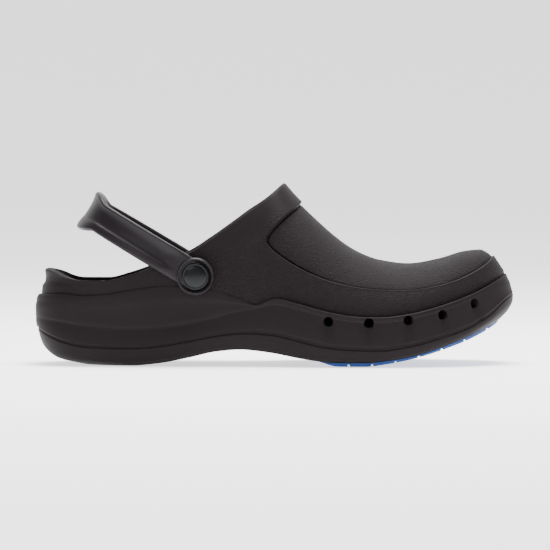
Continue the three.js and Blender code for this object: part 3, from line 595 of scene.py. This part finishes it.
def object_of(name: str, bm: bmesh.types.BMesh, materials: list, sharp: float) -> bpy.types.Object:
    """Makes a finished object from a mesh in the making.

    Args:
        name: the piece's name.
        bm: its mesh, which is freed.
        materials: its materials.
        sharp: edges that turn more than this many degrees stay sharp.

    Returns:
        The object, at the origin and unturned.
    """
    bmesh.ops.recalc_face_normals(bm, faces=bm.faces)
    for face in bm.faces:
        face.smooth = True
    mesh = bpy.data.meshes.new(name)
    bm.to_mesh(mesh)
    bm.free()
    mesh.set_sharp_from_angle(angle=math.radians(sharp))
    made = bpy.data.objects.new(name, mesh)
    bpy.context.scene.collection.objects.link(made)
    for material in materials:
        mesh.materials.append(material)
    log.info("%s: %d faces", name, len(mesh.polygons))
    return made


def skin_grid(rows: np.ndarray, grain: np.ndarray | None = None) -> bmesh.types.BMesh:
    """A skin through rings of points, from a grid whose corners are moved onto them.

    Args:
        rows: an array of rings, each with its first point again at its end, in metres.
        grain: how grainy the skin is at each point.

    Returns:
        The mesh, with its seam and its collapsed ends welded.
    """
    count, across = rows.shape[:2]
    bm = bmesh.new()
    bmesh.ops.create_grid(bm, x_segments=across - 1, y_segments=count - 1, size=1.0)
    layer = bm.verts.layers.float.new("grain")
    flat = rows.reshape(-1, 3)
    mask = np.zeros(len(flat)) if grain is None else grain.reshape(-1)
    for vert in bm.verts:
        column = round((vert.co.x + 1) / 2 * (across - 1))
        row = round((vert.co.y + 1) / 2 * (count - 1))
        n = row * across + column
        vert.co = flat[n]
        vert[layer] = mask[n]
    bmesh.ops.remove_doubles(bm, verts=bm.verts, dist=SKIN_WELD)
    bmesh.ops.dissolve_degenerate(bm, dist=SLIVER, edges=bm.edges)
    return bm


def spun(profile: list[tuple[float, float]], segments: int) -> bmesh.types.BMesh:
    """A turned piece about the Y axis.

    Args:
        profile: (radius, along) pairs in millimetres, from axis to axis or closed on itself.
        segments: how many steps go round.

    Returns:
        The mesh.
    """
    bm = bmesh.new()
    verts = [bm.verts.new((r * MM, y * MM, 0.0)) for r, y in profile]
    edges = [bm.edges.new(pair) for pair in zip(verts, verts[1:])]
    if profile[0][0] > 0:
        edges.append(bm.edges.new((verts[-1], verts[0])))
    round_y = {"cent": (0.0, 0.0, 0.0), "axis": (0.0, 1.0, 0.0), "angle": 2 * math.pi}
    bmesh.ops.spin(bm, geom=verts + edges, steps=segments, use_merge=True, **round_y)
    bmesh.ops.remove_doubles(bm, verts=bm.verts, dist=TURNED_WELD)
    return bm


@dataclass
class Body:
    """The upper and midsole, moulded whole."""

    last: Last
    placing: Placing
    upper_rows: int = 72
    row_power: float = 1.4
    wall_steps: int = 4
    sheet_shares: tuple[float, ...] = (0.35, 0.7, 1.0)
    spine_margin: float = 14.0
    sharp_angle: float = 68.0
    # The inside
    inner_every: int = 5
    floor_inset: float = 5.0
    floor_toe: float = 10.0
    cove_steps: int = 8
    rim_steps: int = 9
    rim_height: float = 1.3
    # The panel over the toes, whose step is deeper and has a groove towards the rear
    panel_step: float = 1.3
    rear_step: float = 0.7
    step_between: tuple[float, float] = (-0.5, 0.45)
    rear_between: tuple[float, float] = (150.0, 185.0)
    rear_groove: float = 0.8
    groove_at: float = 0.45
    groove_spread: float = 0.35
    lip_height: float = 0.3
    lip_at: float = -0.55
    lip_spread: float = 0.45
    # How near to the panel's edge the mesh is made finer, once for each band
    edge_bands: tuple[float, ...] = (4.2, 2.2)
    rear_bands: tuple[float, ...] = (1.3,)
    rear_until: float = 166.0
    # Where the grain sets in: inside the panel, along the quarter and down from the collar
    panel_grain: tuple[float, float] = (0.5, 1.2)
    quarter_gap: float = -0.6
    quarter_grain: tuple[float, float] = (60.0, 95.0)
    collar_grain: tuple[float, float] = (0.04, 0.1)
    # The vents and the scoops under them
    vent_stagger: float = -6.0
    vent_radius: float = 2.9
    vent_sides: int = 40
    vent_inset: float = 1.0
    pin_length: float = 22.0
    pin_sink: float = 6.0
    scoop_radius: float = 3.1
    scoop_length: float = 8.0
    scoop_depth: float = 1.7
    scoop_drop: float = 1.5
    scoop_flat: float = 0.3
    scoop_fade: float = 0.75

    def ups(self) -> np.ndarray:
        """Where the upper's rings lie, from 1 at the collar to 0 at the wall, closest at the collar."""
        return 1 - np.linspace(0.0, 1.0, self.upper_rows) ** self.row_power

    def outer_upper(self) -> tuple[np.ndarray, np.ndarray]:
        """The upper's outer face from collar to wall.

        Returns:
            Its rings, and its unit normals.
        """
        rings = np.stack([self.last.upper_ring(float(up)) for up in self.ups()])
        return rings, self.normals(rings)

    def normals(self, rings: np.ndarray) -> np.ndarray:
        """Outward unit normals of a skin of rings.

        Args:
            rings: rings in order from top to bottom.

        Returns:
            A normal for each point.
        """
        down = np.gradient(rings, axis=0)
        ahead = np.roll(rings[:, :-1], -1, axis=1)
        behind = np.roll(rings[:, :-1], 1, axis=1)
        along = ahead - behind
        along = np.concatenate([along, along[:, :1]], axis=1)
        normal = np.cross(down, along)
        return normal / np.maximum(np.linalg.norm(normal, axis=2, keepdims=True), TINY)

    def wall(self, top: np.ndarray) -> np.ndarray:
        """The wall and underside, smooth between the rings of the table.

        Args:
            top: the ring where the upper meets the wall.

        Returns:
            The rings under it, down to the underside's edge.
        """
        edge = [self.edge_ring(*row) for row in EDGE_RINGS]
        rings = np.stack([top, *edge, *[self.last.wall_ring(row) for row in WALL_RINGS]])
        keys = np.arange(len(rings))
        steps = np.linspace(0, keys[-1], keys[-1] * self.wall_steps + 1)[1:]
        return Curve(keys, rings)(steps)

    def edge_ring(self, rise: float, share: float) -> np.ndarray:
        """A ring of the rounded edge between the wall and the ledge under the upper.

        Args:
            rise: its height, a share of the way from the crease to the edge.
            share: how far in it lies, a share of the ledge.

        Returns:
            The ring's points.
        """
        last = self.last
        heel = UPPER_HEEL * share
        toe = WALL_TOE + (UPPER_TOE - WALL_TOE) * share
        x = heel + (toe - heel) * last.share
        inset = last["ledge"](x) * share
        y = last.sign * last.half_width(x, last.sign, heel, toe, inset) + last["axis"](x)
        z = (1 - rise) * last["crease"](x) + rise * last["rand"](x)
        return np.stack([x, y, z], axis=1)

    def scoops(self, rings: np.ndarray) -> np.ndarray:
        """How deep the scoops under the vents are at each point of the wall.

        Args:
            rings: points of the wall.

        Returns:
            A depth in millimetres for each point.
        """
        flat = rings[..., [0, 2]].reshape(-1, 2)
        inner = np.broadcast_to(self.last.sign > 0, rings.shape[:2]).reshape(-1)
        flat = flat - np.where(inner, self.vent_stagger, 0.0)[:, None] * [1.0, 0.0]
        depth = np.zeros(len(flat))
        for at, height, slant in VENTS:
            top = np.array([at * LENGTH, height * INSTEP_HEIGHT - self.scoop_drop])
            turn = math.radians(slant)
            down = np.array([math.sin(turn), -math.cos(turn)])
            share = np.clip((flat - top) @ down / self.scoop_length, 0.0, 1.0)
            away = np.linalg.norm(flat - top - share[:, None] * down * self.scoop_length, axis=1)
            dish = 1 - smoothstep(away, self.scoop_flat * self.scoop_radius, self.scoop_radius)
            depth = np.maximum(depth, self.scoop_depth * dish * (1 - self.scoop_fade * share))
        return depth.reshape(rings.shape[:2])

    def spine(self, ring: np.ndarray) -> np.ndarray:
        """The middle line of a flat face, a little shorter than the face.

        Args:
            ring: the face's edge.

        Returns:
            A point of the line for each point of the edge.
        """
        heel, toe = ring[:, 0].min(), ring[:, 0].max()
        share = (ring[:, 0] - heel) / (toe - heel)
        x = heel + self.spine_margin + (toe - heel - 2 * self.spine_margin) * share
        height = np.interp(x, ring[: len(ring) // 2, 0], ring[: len(ring) // 2, 2])
        return np.stack([x, self.last["axis"](x), height], axis=1)

    def inside(self, outer: np.ndarray, normals: np.ndarray) -> np.ndarray:
        """The inner face from the footbed's centre up to the collar.

        Args:
            outer: the outer upper's rings, from the collar down.
            normals: their normals.

        Returns:
            Rings from the floor's centre line to the collar.
        """
        last = self.last
        walls = (outer - COLLAR_WALL * normals)[:: self.inner_every][::-1]
        heel = UPPER_HEEL + COLLAR_WALL + self.floor_inset
        toe = UPPER_TOE - COLLAR_WALL - self.floor_toe
        floor = last.outline(heel, toe, COLLAR_WALL + self.floor_inset, last["floor"])
        centre = self.spine(floor)
        low = walls[0]
        rows = [centre + (floor - centre) * share for share in (0.0, *self.sheet_shares)]
        for turn in np.linspace(0, math.pi / 2, self.cove_steps)[1:-1]:
            share, lift = math.sin(turn), 1 - math.cos(turn)
            rows.append(floor + (low - floor) * [share, share, lift])
        return np.concatenate([np.stack(rows), walls])

    def rim(self, outer: np.ndarray, inner: np.ndarray) -> np.ndarray:
        """The rounded rim between the inner and the outer face.

        Args:
            outer: the outer upper's rings, from the collar down.
            inner: the inner face's top ring.

        Returns:
            The rim's rings.
        """
        middle = (outer[0] + inner) / 2
        half = (outer[0] - inner) / 2
        upward = outer[0] - outer[1]
        upward = upward / np.maximum(np.linalg.norm(upward, axis=1, keepdims=True), TINY)
        upward = upward * self.rim_height
        turns = np.linspace(math.pi, 0, self.rim_steps)[1:-1]
        return np.stack([middle + half * math.cos(t) + upward * math.sin(t) for t in turns])

    def cutter(self) -> bpy.types.Object:
        """The pins that leave the vents.

        Returns:
            One object with all the pins.
        """
        radius = self.vent_radius * MM
        depth = self.pin_length * MM
        pin = {"segments": self.vent_sides, "radius1": radius, "radius2": radius, "depth": depth}
        whole = bmesh.new()
        for side in Side:
            for at, height, _ in VENTS:
                middle = at * LENGTH + (self.vent_stagger if side is Side.MEDIAL else 0.0)
                x = np.array([middle - 1, middle, middle + 1])
                sign = np.full(3, float(side.value))
                half = self.last.half_width(x, sign, 0.0, LENGTH, self.vent_inset)
                y = sign * half + self.last["axis"](x)
                mouth = np.array([x[1], y[1], height * INSTEP_HEIGHT])
                along = np.array([x[2] - x[0], y[2] - y[0], 0.0])
                out = np.array([along[1], -along[0], 0.0]) * -side.value
                out /= np.linalg.norm(out)
                centre = Vector(self.placing.apply(mouth - self.pin_sink * out))
                turn = Vector(out).to_track_quat("Z", "Y").to_matrix().to_4x4()
                place = Matrix.Translation(centre) @ turn
                bmesh.ops.create_cone(whole, cap_ends=True, matrix=place, **pin)
        return object_of("vent_pins", whole, [], 30.0)

    def build(self, looks: dict[Finish, bpy.types.Material]) -> bpy.types.Object:
        """Models the body.

        Args:
            looks: the materials.

        Returns:
            The body.
        """
        outer, normals = self.outer_upper()
        inner = self.inside(outer, normals)
        lip = self.rim(outer, inner[-1])
        wall = self.wall(outer[-1])
        dents = self.scoops(wall)
        wall = wall - self.normals(wall) * dents[..., None]
        spine = self.spine(wall[-1])
        under = np.stack([wall[-1] + (spine - wall[-1]) * share for share in self.sheet_shares])
        rows = np.concatenate([inner, lip, outer, wall, under])
        face = np.zeros(rows.shape[:2])
        start = len(inner) + len(lip)
        face[start : start + self.upper_rows] = 2.0 - self.ups()[:, None]
        bm = skin_grid(self.placing.apply(rows), face)
        self.carve(bm)
        body = object_of("clog_body", bm, [looks[Finish.EVA]], 180.0)
        self.cut(body)
        body.data.set_sharp_from_angle(angle=math.radians(self.sharp_angle))
        return body

    def carve(self, bm: bmesh.types.BMesh) -> None:
        """Lowers the panel over the toes and marks where the skin is grainy.

        Args:
            bm: the body's mesh, whose "grain" layer holds 1 to 2 down the upper's outer face.
        """
        layer = bm.verts.layers.float["grain"]
        self.make_finer(bm)
        bmesh.ops.recalc_face_normals(bm, faces=bm.faces)
        bm.normal_update()
        upper = [vert for vert in bm.verts if vert[layer] >= 1.0]
        x = (np.array([vert.co.x for vert in upper]) - self.placing.shift.x) / MM
        down = np.array([vert[layer] for vert in upper]) - 1.0
        inside = self.depth_in_panel(upper)
        rear = 1 - smoothstep(x, *self.rear_between)
        step = self.panel_step + self.rear_step * rear
        groove_shape = np.exp(-(((inside - self.groove_at) / self.groove_spread) ** 2))
        lip_shape = np.exp(-(((inside - self.lip_at) / self.lip_spread) ** 2))
        groove = self.rear_groove * rear * groove_shape
        lip = self.lip_height * (1 - rear) * lip_shape
        lowered = (step * smoothstep(inside, *self.step_between) + groove - lip) * MM
        quarter = smoothstep(x, *self.quarter_grain) * smoothstep(down, *self.collar_grain)
        panel = smoothstep(inside, *self.panel_grain)
        grain = np.maximum(panel, quarter * (inside < self.quarter_gap))
        moves = [-vert.normal * float(depth) for vert, depth in zip(upper, lowered)]
        for vert in bm.verts:
            vert[layer] = 0.0
        for vert, move, mark in zip(upper, moves, grain):
            vert.co += move
            vert[layer] = float(mark)

    def make_finer(self, bm: bmesh.types.BMesh) -> None:
        """Halves the edges near the panel's edge, band by band.

        Args:
            bm: the body's mesh, with its "grain" layer.
        """
        layer = bm.verts.layers.float["grain"]
        everywhere = [(band, LENGTH) for band in self.edge_bands]
        behind = [(band, self.rear_until) for band in self.rear_bands]
        for band, until in everywhere + behind:
            front = (until * MM) + self.placing.shift.x
            near = [vert for vert in bm.verts if vert[layer] >= 1.0 and vert.co.x < front]
            depth = self.depth_in_panel(near)
            close = {vert for vert, inside in zip(near, depth) if abs(inside) < band}
            edges = [e for e in bm.edges if e.verts[0] in close and e.verts[1] in close]
            bmesh.ops.subdivide_edges(bm, edges=edges, cuts=1, use_grid_fill=True)

    def depth_in_panel(self, verts: list[bmesh.types.BMVert]) -> np.ndarray:
        """How far inside the panel over the toes each corner lies.

        Args:
            verts: corners of the upper.

        Returns:
            A distance in millimetres for each corner, positive inside.
        """
        shift = np.array(self.placing.shift)
        flat = (np.array([vert.co for vert in verts]) - shift)[:, [0, 2]] / MM
        corners = np.array(PANEL_OUTLINE) * (LENGTH, INSTEP_HEIGHT)
        return side_distance(flat, rounded(corners, 2))

    def cut(self, body: bpy.types.Object) -> None:
        """Cuts the vents.

        Args:
            body: the body to cut.
        """
        pins = self.cutter()
        step = body.modifiers.new("vents", "BOOLEAN")
        step.operation = "DIFFERENCE"
        step.object = pins
        step.solver = "EXACT"
        graph = bpy.context.evaluated_depsgraph_get()
        cut = bpy.data.meshes.new_from_object(body.evaluated_get(graph))
        body.modifiers.clear()
        body.data = cut
        bpy.data.objects.remove(pins)


@dataclass
class Strap:
    """The heel strap, a trough-shaped band with a round boss at each end."""

    last: Last
    placing: Placing
    pivot_at: float = 0.3362
    pivot_height: float = 0.493
    reach: float = 74.8
    rise_angle: float = 30.9
    width: float = 17.8
    flare: float = 7.4
    flare_from: float = 0.87
    lip: float = 0.5
    thickness: float = 3.2
    rim: float = 1.9
    boss_rim_share: float = 0.45
    flare_rim_loss: float = 0.6
    trough_between: tuple[float, float] = (0.9, 1.9)
    rings: int = 221
    path_step: float = 0.004
    squareness: float = 2.6
    stand_off: float = 0.5
    clearance: float = 0.3
    boss_radius: float = 11.2
    boss_depth: float = 5.0
    cup_radius: float = 9.5
    cup_depth: float = 2.6
    hole_radius: float = 3.3
    shank_radius: float = 3.0
    shank_length: float = 8.0
    button_radius: float = 8.3
    turned_sides: int = 96

    def __post_init__(self) -> None:
        """Works out the strap's own directions."""
        turn = math.radians(self.rise_angle)
        self.pivot = np.array([self.pivot_at * LENGTH, 0.0, self.pivot_height * INSTEP_HEIGHT])
        self.back = np.array([-math.cos(turn), 0.0, math.sin(turn)])
        self.up = np.cross([0.0, 1.0, 0.0], self.back)

    def face(self, side: Side) -> float:
        """How far out the inner face of the strap lies on one side."""
        name = side.name.lower()
        return float(self.last[name](self.pivot[0])) + self.stand_off

    def path(self, turn: np.ndarray) -> np.ndarray:
        """The middle line of the strap.

        Args:
            turn: 0 at the outer boss, pi at the inner one.

        Returns:
            A point for each turn.
        """
        power = 2 / self.squareness
        outer, inner = self.face(Side.LATERAL), self.face(Side.MEDIAL)
        half = (outer + inner) / 2 + self.clearance + self.thickness / 2
        run = self.reach * np.maximum(np.sin(turn), 0.0) ** power
        across = -half * np.sign(np.cos(turn)) * np.abs(np.cos(turn)) ** power
        spots = self.pivot + run[:, None] * self.back
        spots[:, 1] += (inner - outer) / 2 + across
        return spots

    def section(self, flare: float, trough: float) -> np.ndarray:
        """The strap's cross-section.

        Args:
            flare: 1 where both edges turn out behind the heel.
            trough: 1 where the outer face is sunk.

        Returns:
            Corners as (out, up) pairs.
        """
        half = (self.width + self.flare * flare) / 2
        skin = self.thickness / 2
        fullness = self.boss_rim_share + (1 - self.boss_rim_share) * trough
        rim = skin + self.rim * fullness * (1 - self.flare_rim_loss * flare)
        sunk = rim + (skin - rim) * trough
        corners = []
        for outer, up, share, turn, edge in STRAP_SECTION:
            out = sunk + share * (rim - sunk) if outer else -skin
            corners.append((out + turn * self.lip * flare + edge, up * half))
        return rounded(np.array(corners), 2)

    def band(self) -> bmesh.types.BMesh:
        """The band from boss to boss.

        Returns:
            Its mesh.
        """
        turns = np.linspace(0.0, math.pi, self.rings)
        spots = self.path(turns)
        ends = np.clip(turns, self.path_step, math.pi - self.path_step)
        along = self.path(ends + self.path_step) - self.path(ends - self.path_step)
        along /= np.linalg.norm(along, axis=1, keepdims=True)
        out = np.cross(self.up, along)
        out /= np.linalg.norm(out, axis=1, keepdims=True)
        run = (spots - self.pivot) @ self.back
        flare = smoothstep(run / self.reach, self.flare_from, 1.0)
        trough = smoothstep(run / self.boss_radius, *self.trough_between)
        rows = []
        for n, spot in enumerate(spots):
            corners = self.section(float(flare[n]), float(trough[n]))
            ring = spot + corners[:, :1] * out[n] + corners[:, 1:] * self.up
            rows.append(np.concatenate([ring, ring[:1]]))
        bm = skin_grid(self.placing.apply(np.stack(rows)))
        bmesh.ops.holes_fill(bm, edges=bm.edges, sides=0)
        return bm

    def turned(self, side: Side, profile: list[tuple[float, float]]) -> bmesh.types.BMesh:
        """A turned piece on the pivot's axis.

        Args:
            side: which side it's on.
            profile: (radius, distance from the strap's inner face) pairs.

        Returns:
            Its mesh, in place.
        """
        inner = self.face(side) + self.clearance
        bm = spun([(r, side.value * (inner + y)) for r, y in profile], self.turned_sides)
        shift = Vector(self.placing.apply(self.pivot))
        bmesh.ops.translate(bm, verts=bm.verts, vec=shift)
        return bm

    def build(self, looks: dict[Finish, bpy.types.Material]) -> bpy.types.Object:
        """Models the strap with its bosses.

        Args:
            looks: the materials.

        Returns:
            The strap.
        """
        whole = self.band()
        r, depth = self.boss_radius, self.boss_depth
        floor = depth - self.cup_depth
        profile = [
            (self.hole_radius, 0.0), (r - 1.0, 0.0), (r - 0.3, 0.3), (r, 1.0),
            (r, depth - 1.0), (r - 0.25, depth - 0.35), (r - 0.8, depth),
            (r - 1.2, depth - 0.15), (r - 1.6, depth - 0.7), (self.cup_radius - 0.2, floor + 0.3),
            (self.cup_radius - 0.6, floor), (self.hole_radius, floor),
        ]
        for side in Side:
            boss = self.turned(side, profile)
            scratch = bpy.data.meshes.new("boss")
            boss.to_mesh(scratch)
            boss.free()
            whole.from_mesh(scratch)
            bpy.data.meshes.remove(scratch)
        return object_of("heel_strap", whole, [looks[Finish.STRAP]], 40.0)

    def button(self, side: Side, look: bpy.types.Material) -> bpy.types.Object:
        """Models one button with its shank.

        Args:
            side: which side it's on.
            look: its material.

        Returns:
            The button.
        """
        base = self.boss_depth - self.cup_depth + self.clearance
        r = self.button_radius
        profile = [
            (0.0, -self.shank_length), (self.shank_radius, -self.shank_length),
            (self.shank_radius, base), (r - 0.3, base), (r, base + 0.3),
            (r, base + 1.2), (r - 0.25, base + 1.7), (r - 0.7, base + 1.95),
            (r - 1.3, base + 1.95), (r - 1.55, base + 1.8), (r - 1.8, base + 1.95),
            (r * 0.6, base + 2.3), (r * 0.3, base + 2.55), (0.0, base + 2.65),
        ]
        bm = self.turned(side, profile)
        return object_of(f"strap_button_{side.name.lower()}", bm, [look], 50.0)


@dataclass
class Studio:
    """The pale floor, the lights and the camera."""

    photo_width: float = 333.7
    distance: float = 3.0
    elevation: float = 1.8
    target: tuple[float, float, float] = (0.0002, 0.0, 0.0534)
    sensor: float = 36.0
    far_clip: float = 60.0
    floor_glow: float = 1.25
    floor_size: float = 12.0
    floor_drop: float = 0.0003
    bend_from: float = 3.0
    bend: float = 0.35
    air_light: float = 0.3

    def sweep(self) -> None:
        """A floor that curves up into a backdrop far behind the clog."""
        bm = bmesh.new()
        bmesh.ops.create_grid(bm, x_segments=8, y_segments=160, size=self.floor_size)
        for vert in bm.verts:
            vert.co.z = self.bend * max(vert.co.y - self.bend_from, 0.0) ** 2 - self.floor_drop
        floor = object_of("studio_floor", bm, [], 180.0)
        surface = Surface("pale_floor", "fafafa", 0.6, 0.2).material()
        shader = surface.node_tree.nodes["Principled BSDF"]
        shader.inputs["Emission Color"].default_value = (1.0, 1.0, 1.0, 1.0)
        shader.inputs["Emission Strength"].default_value = self.floor_glow
        floor.data.materials.append(surface)

    def light(self, name: str, place: tuple, size: tuple, power: float) -> None:
        """One soft area light aimed at the clog.

        Args:
            name: its name.
            place: where it hangs, in metres.
            size: its width and height.
            power: watts.
        """
        data = bpy.data.lights.new(name, "AREA")
        data.shape = "RECTANGLE"
        data.size, data.size_y = size
        data.energy = power
        lamp = bpy.data.objects.new(name, data)
        lamp.location = place
        aim = Vector(self.target) - Vector(place)
        lamp.rotation_euler = aim.to_track_quat("-Z", "Y").to_euler()
        bpy.context.scene.collection.objects.link(lamp)

    def build(self) -> None:
        """Sets floor, lights, world and camera."""
        self.sweep()
        self.light("overhead_softbox", (0.1, 0.1, 1.3), (1.0, 0.7), 60.0)
        self.light("front_softbox", (-0.6, -1.7, 0.9), (0.8, 0.5), 7.0)
        self.light("toe_strip", (1.3, -0.5, 0.7), (0.3, 0.8), 3.0)
        world = bpy.data.worlds.new("studio_air")
        bpy.context.scene.world = world
        world.use_nodes = True
        air = world.node_tree.nodes["Background"]
        air.inputs["Color"].default_value = (1.0, 1.0, 1.0, 1.0)
        air.inputs["Strength"].default_value = self.air_light
        self.camera()

    def camera(self) -> None:
        """Sets the camera where the photograph was taken from."""
        data = bpy.data.cameras.new("photo_camera")
        data.sensor_width = self.sensor
        data.lens = self.sensor * self.distance / (self.photo_width * MM)
        data.clip_end = self.far_clip
        camera = bpy.data.objects.new("photo_camera", data)
        tilt = math.radians(self.elevation)
        back = Vector((0.0, -math.cos(tilt), math.sin(tilt)))
        camera.location = Vector(self.target) + back * self.distance
        camera.rotation_euler = (-back).to_track_quat("-Z", "Y").to_euler()
        bpy.context.scene.collection.objects.link(camera)
        bpy.context.scene.camera = camera


@dataclass
class Clog:
    """The whole clog, assembled in the order in which a maker would."""

    looks: dict[Finish, bpy.types.Material]
    widest_heel: float = 0.0015 * LENGTH
    widest_inset: float = 0.1
    samples: int = 2001

    def show(self, piece: bpy.types.Object, finish: Finish, *nodes: str) -> None:
        """Puts a finished piece in place of its solids.

        Args:
            piece: the piece.
            finish: the record's slot it belongs to; not used.
            nodes: the solids it stands for.
        """
        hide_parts(*nodes)
        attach(piece, "root")
        log.info("%s replaces %s", piece.name, ", ".join(nodes))

    def build(self) -> None:
        """Builds every piece."""
        last = Last()
        placing = self.placing(last)
        body = Body(last, placing).build(self.looks)
        self.show(body, Finish.EVA, "body")
        strap = Strap(last, placing)
        self.show(strap.build(self.looks), Finish.STRAP, "strap")
        for side in Side:
            button = strap.button(side, self.looks[Finish.BUTTON])
            self.show(button, Finish.BUTTON, f"button_{side.name.lower()}")
        for node, finish in (("outsole", Finish.RUBBER), ("insole", Finish.LINING)):
            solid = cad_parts[node]
            solid.data.materials.clear()
            solid.data.materials.append(self.looks[finish])
            log.info("%s keeps its solid", node)

    def placing(self, last: Last) -> Placing:
        """Sets the middle of the widest outline over the middle of the solid.

        Args:
            last: the form of the clog.

        Returns:
            How the pieces are moved.
        """
        low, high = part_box("body")
        x = np.linspace(0.0, LENGTH, self.samples)
        ends = []
        for sign in (-1.0, 1.0):
            signs = np.full_like(x, sign)
            half = last.half_width(x, signs, self.widest_heel, LENGTH, self.widest_inset)
            ends.append(sign * half + last["axis"](x))
        widest = (ends[0].min() + ends[1].max()) / 2 * MM
        return Placing(Vector((-LENGTH / 2 * MM, (low.y + high.y) / 2 - widest, 0.0)))


def main() -> None:
    """Builds the clog and its studio."""
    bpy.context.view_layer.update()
    looks = {finish: surface.material() for finish, surface in LOOKS.items()}
    Clog(looks).build()
    Studio().build()


if __name__ == "__main__":
    main()
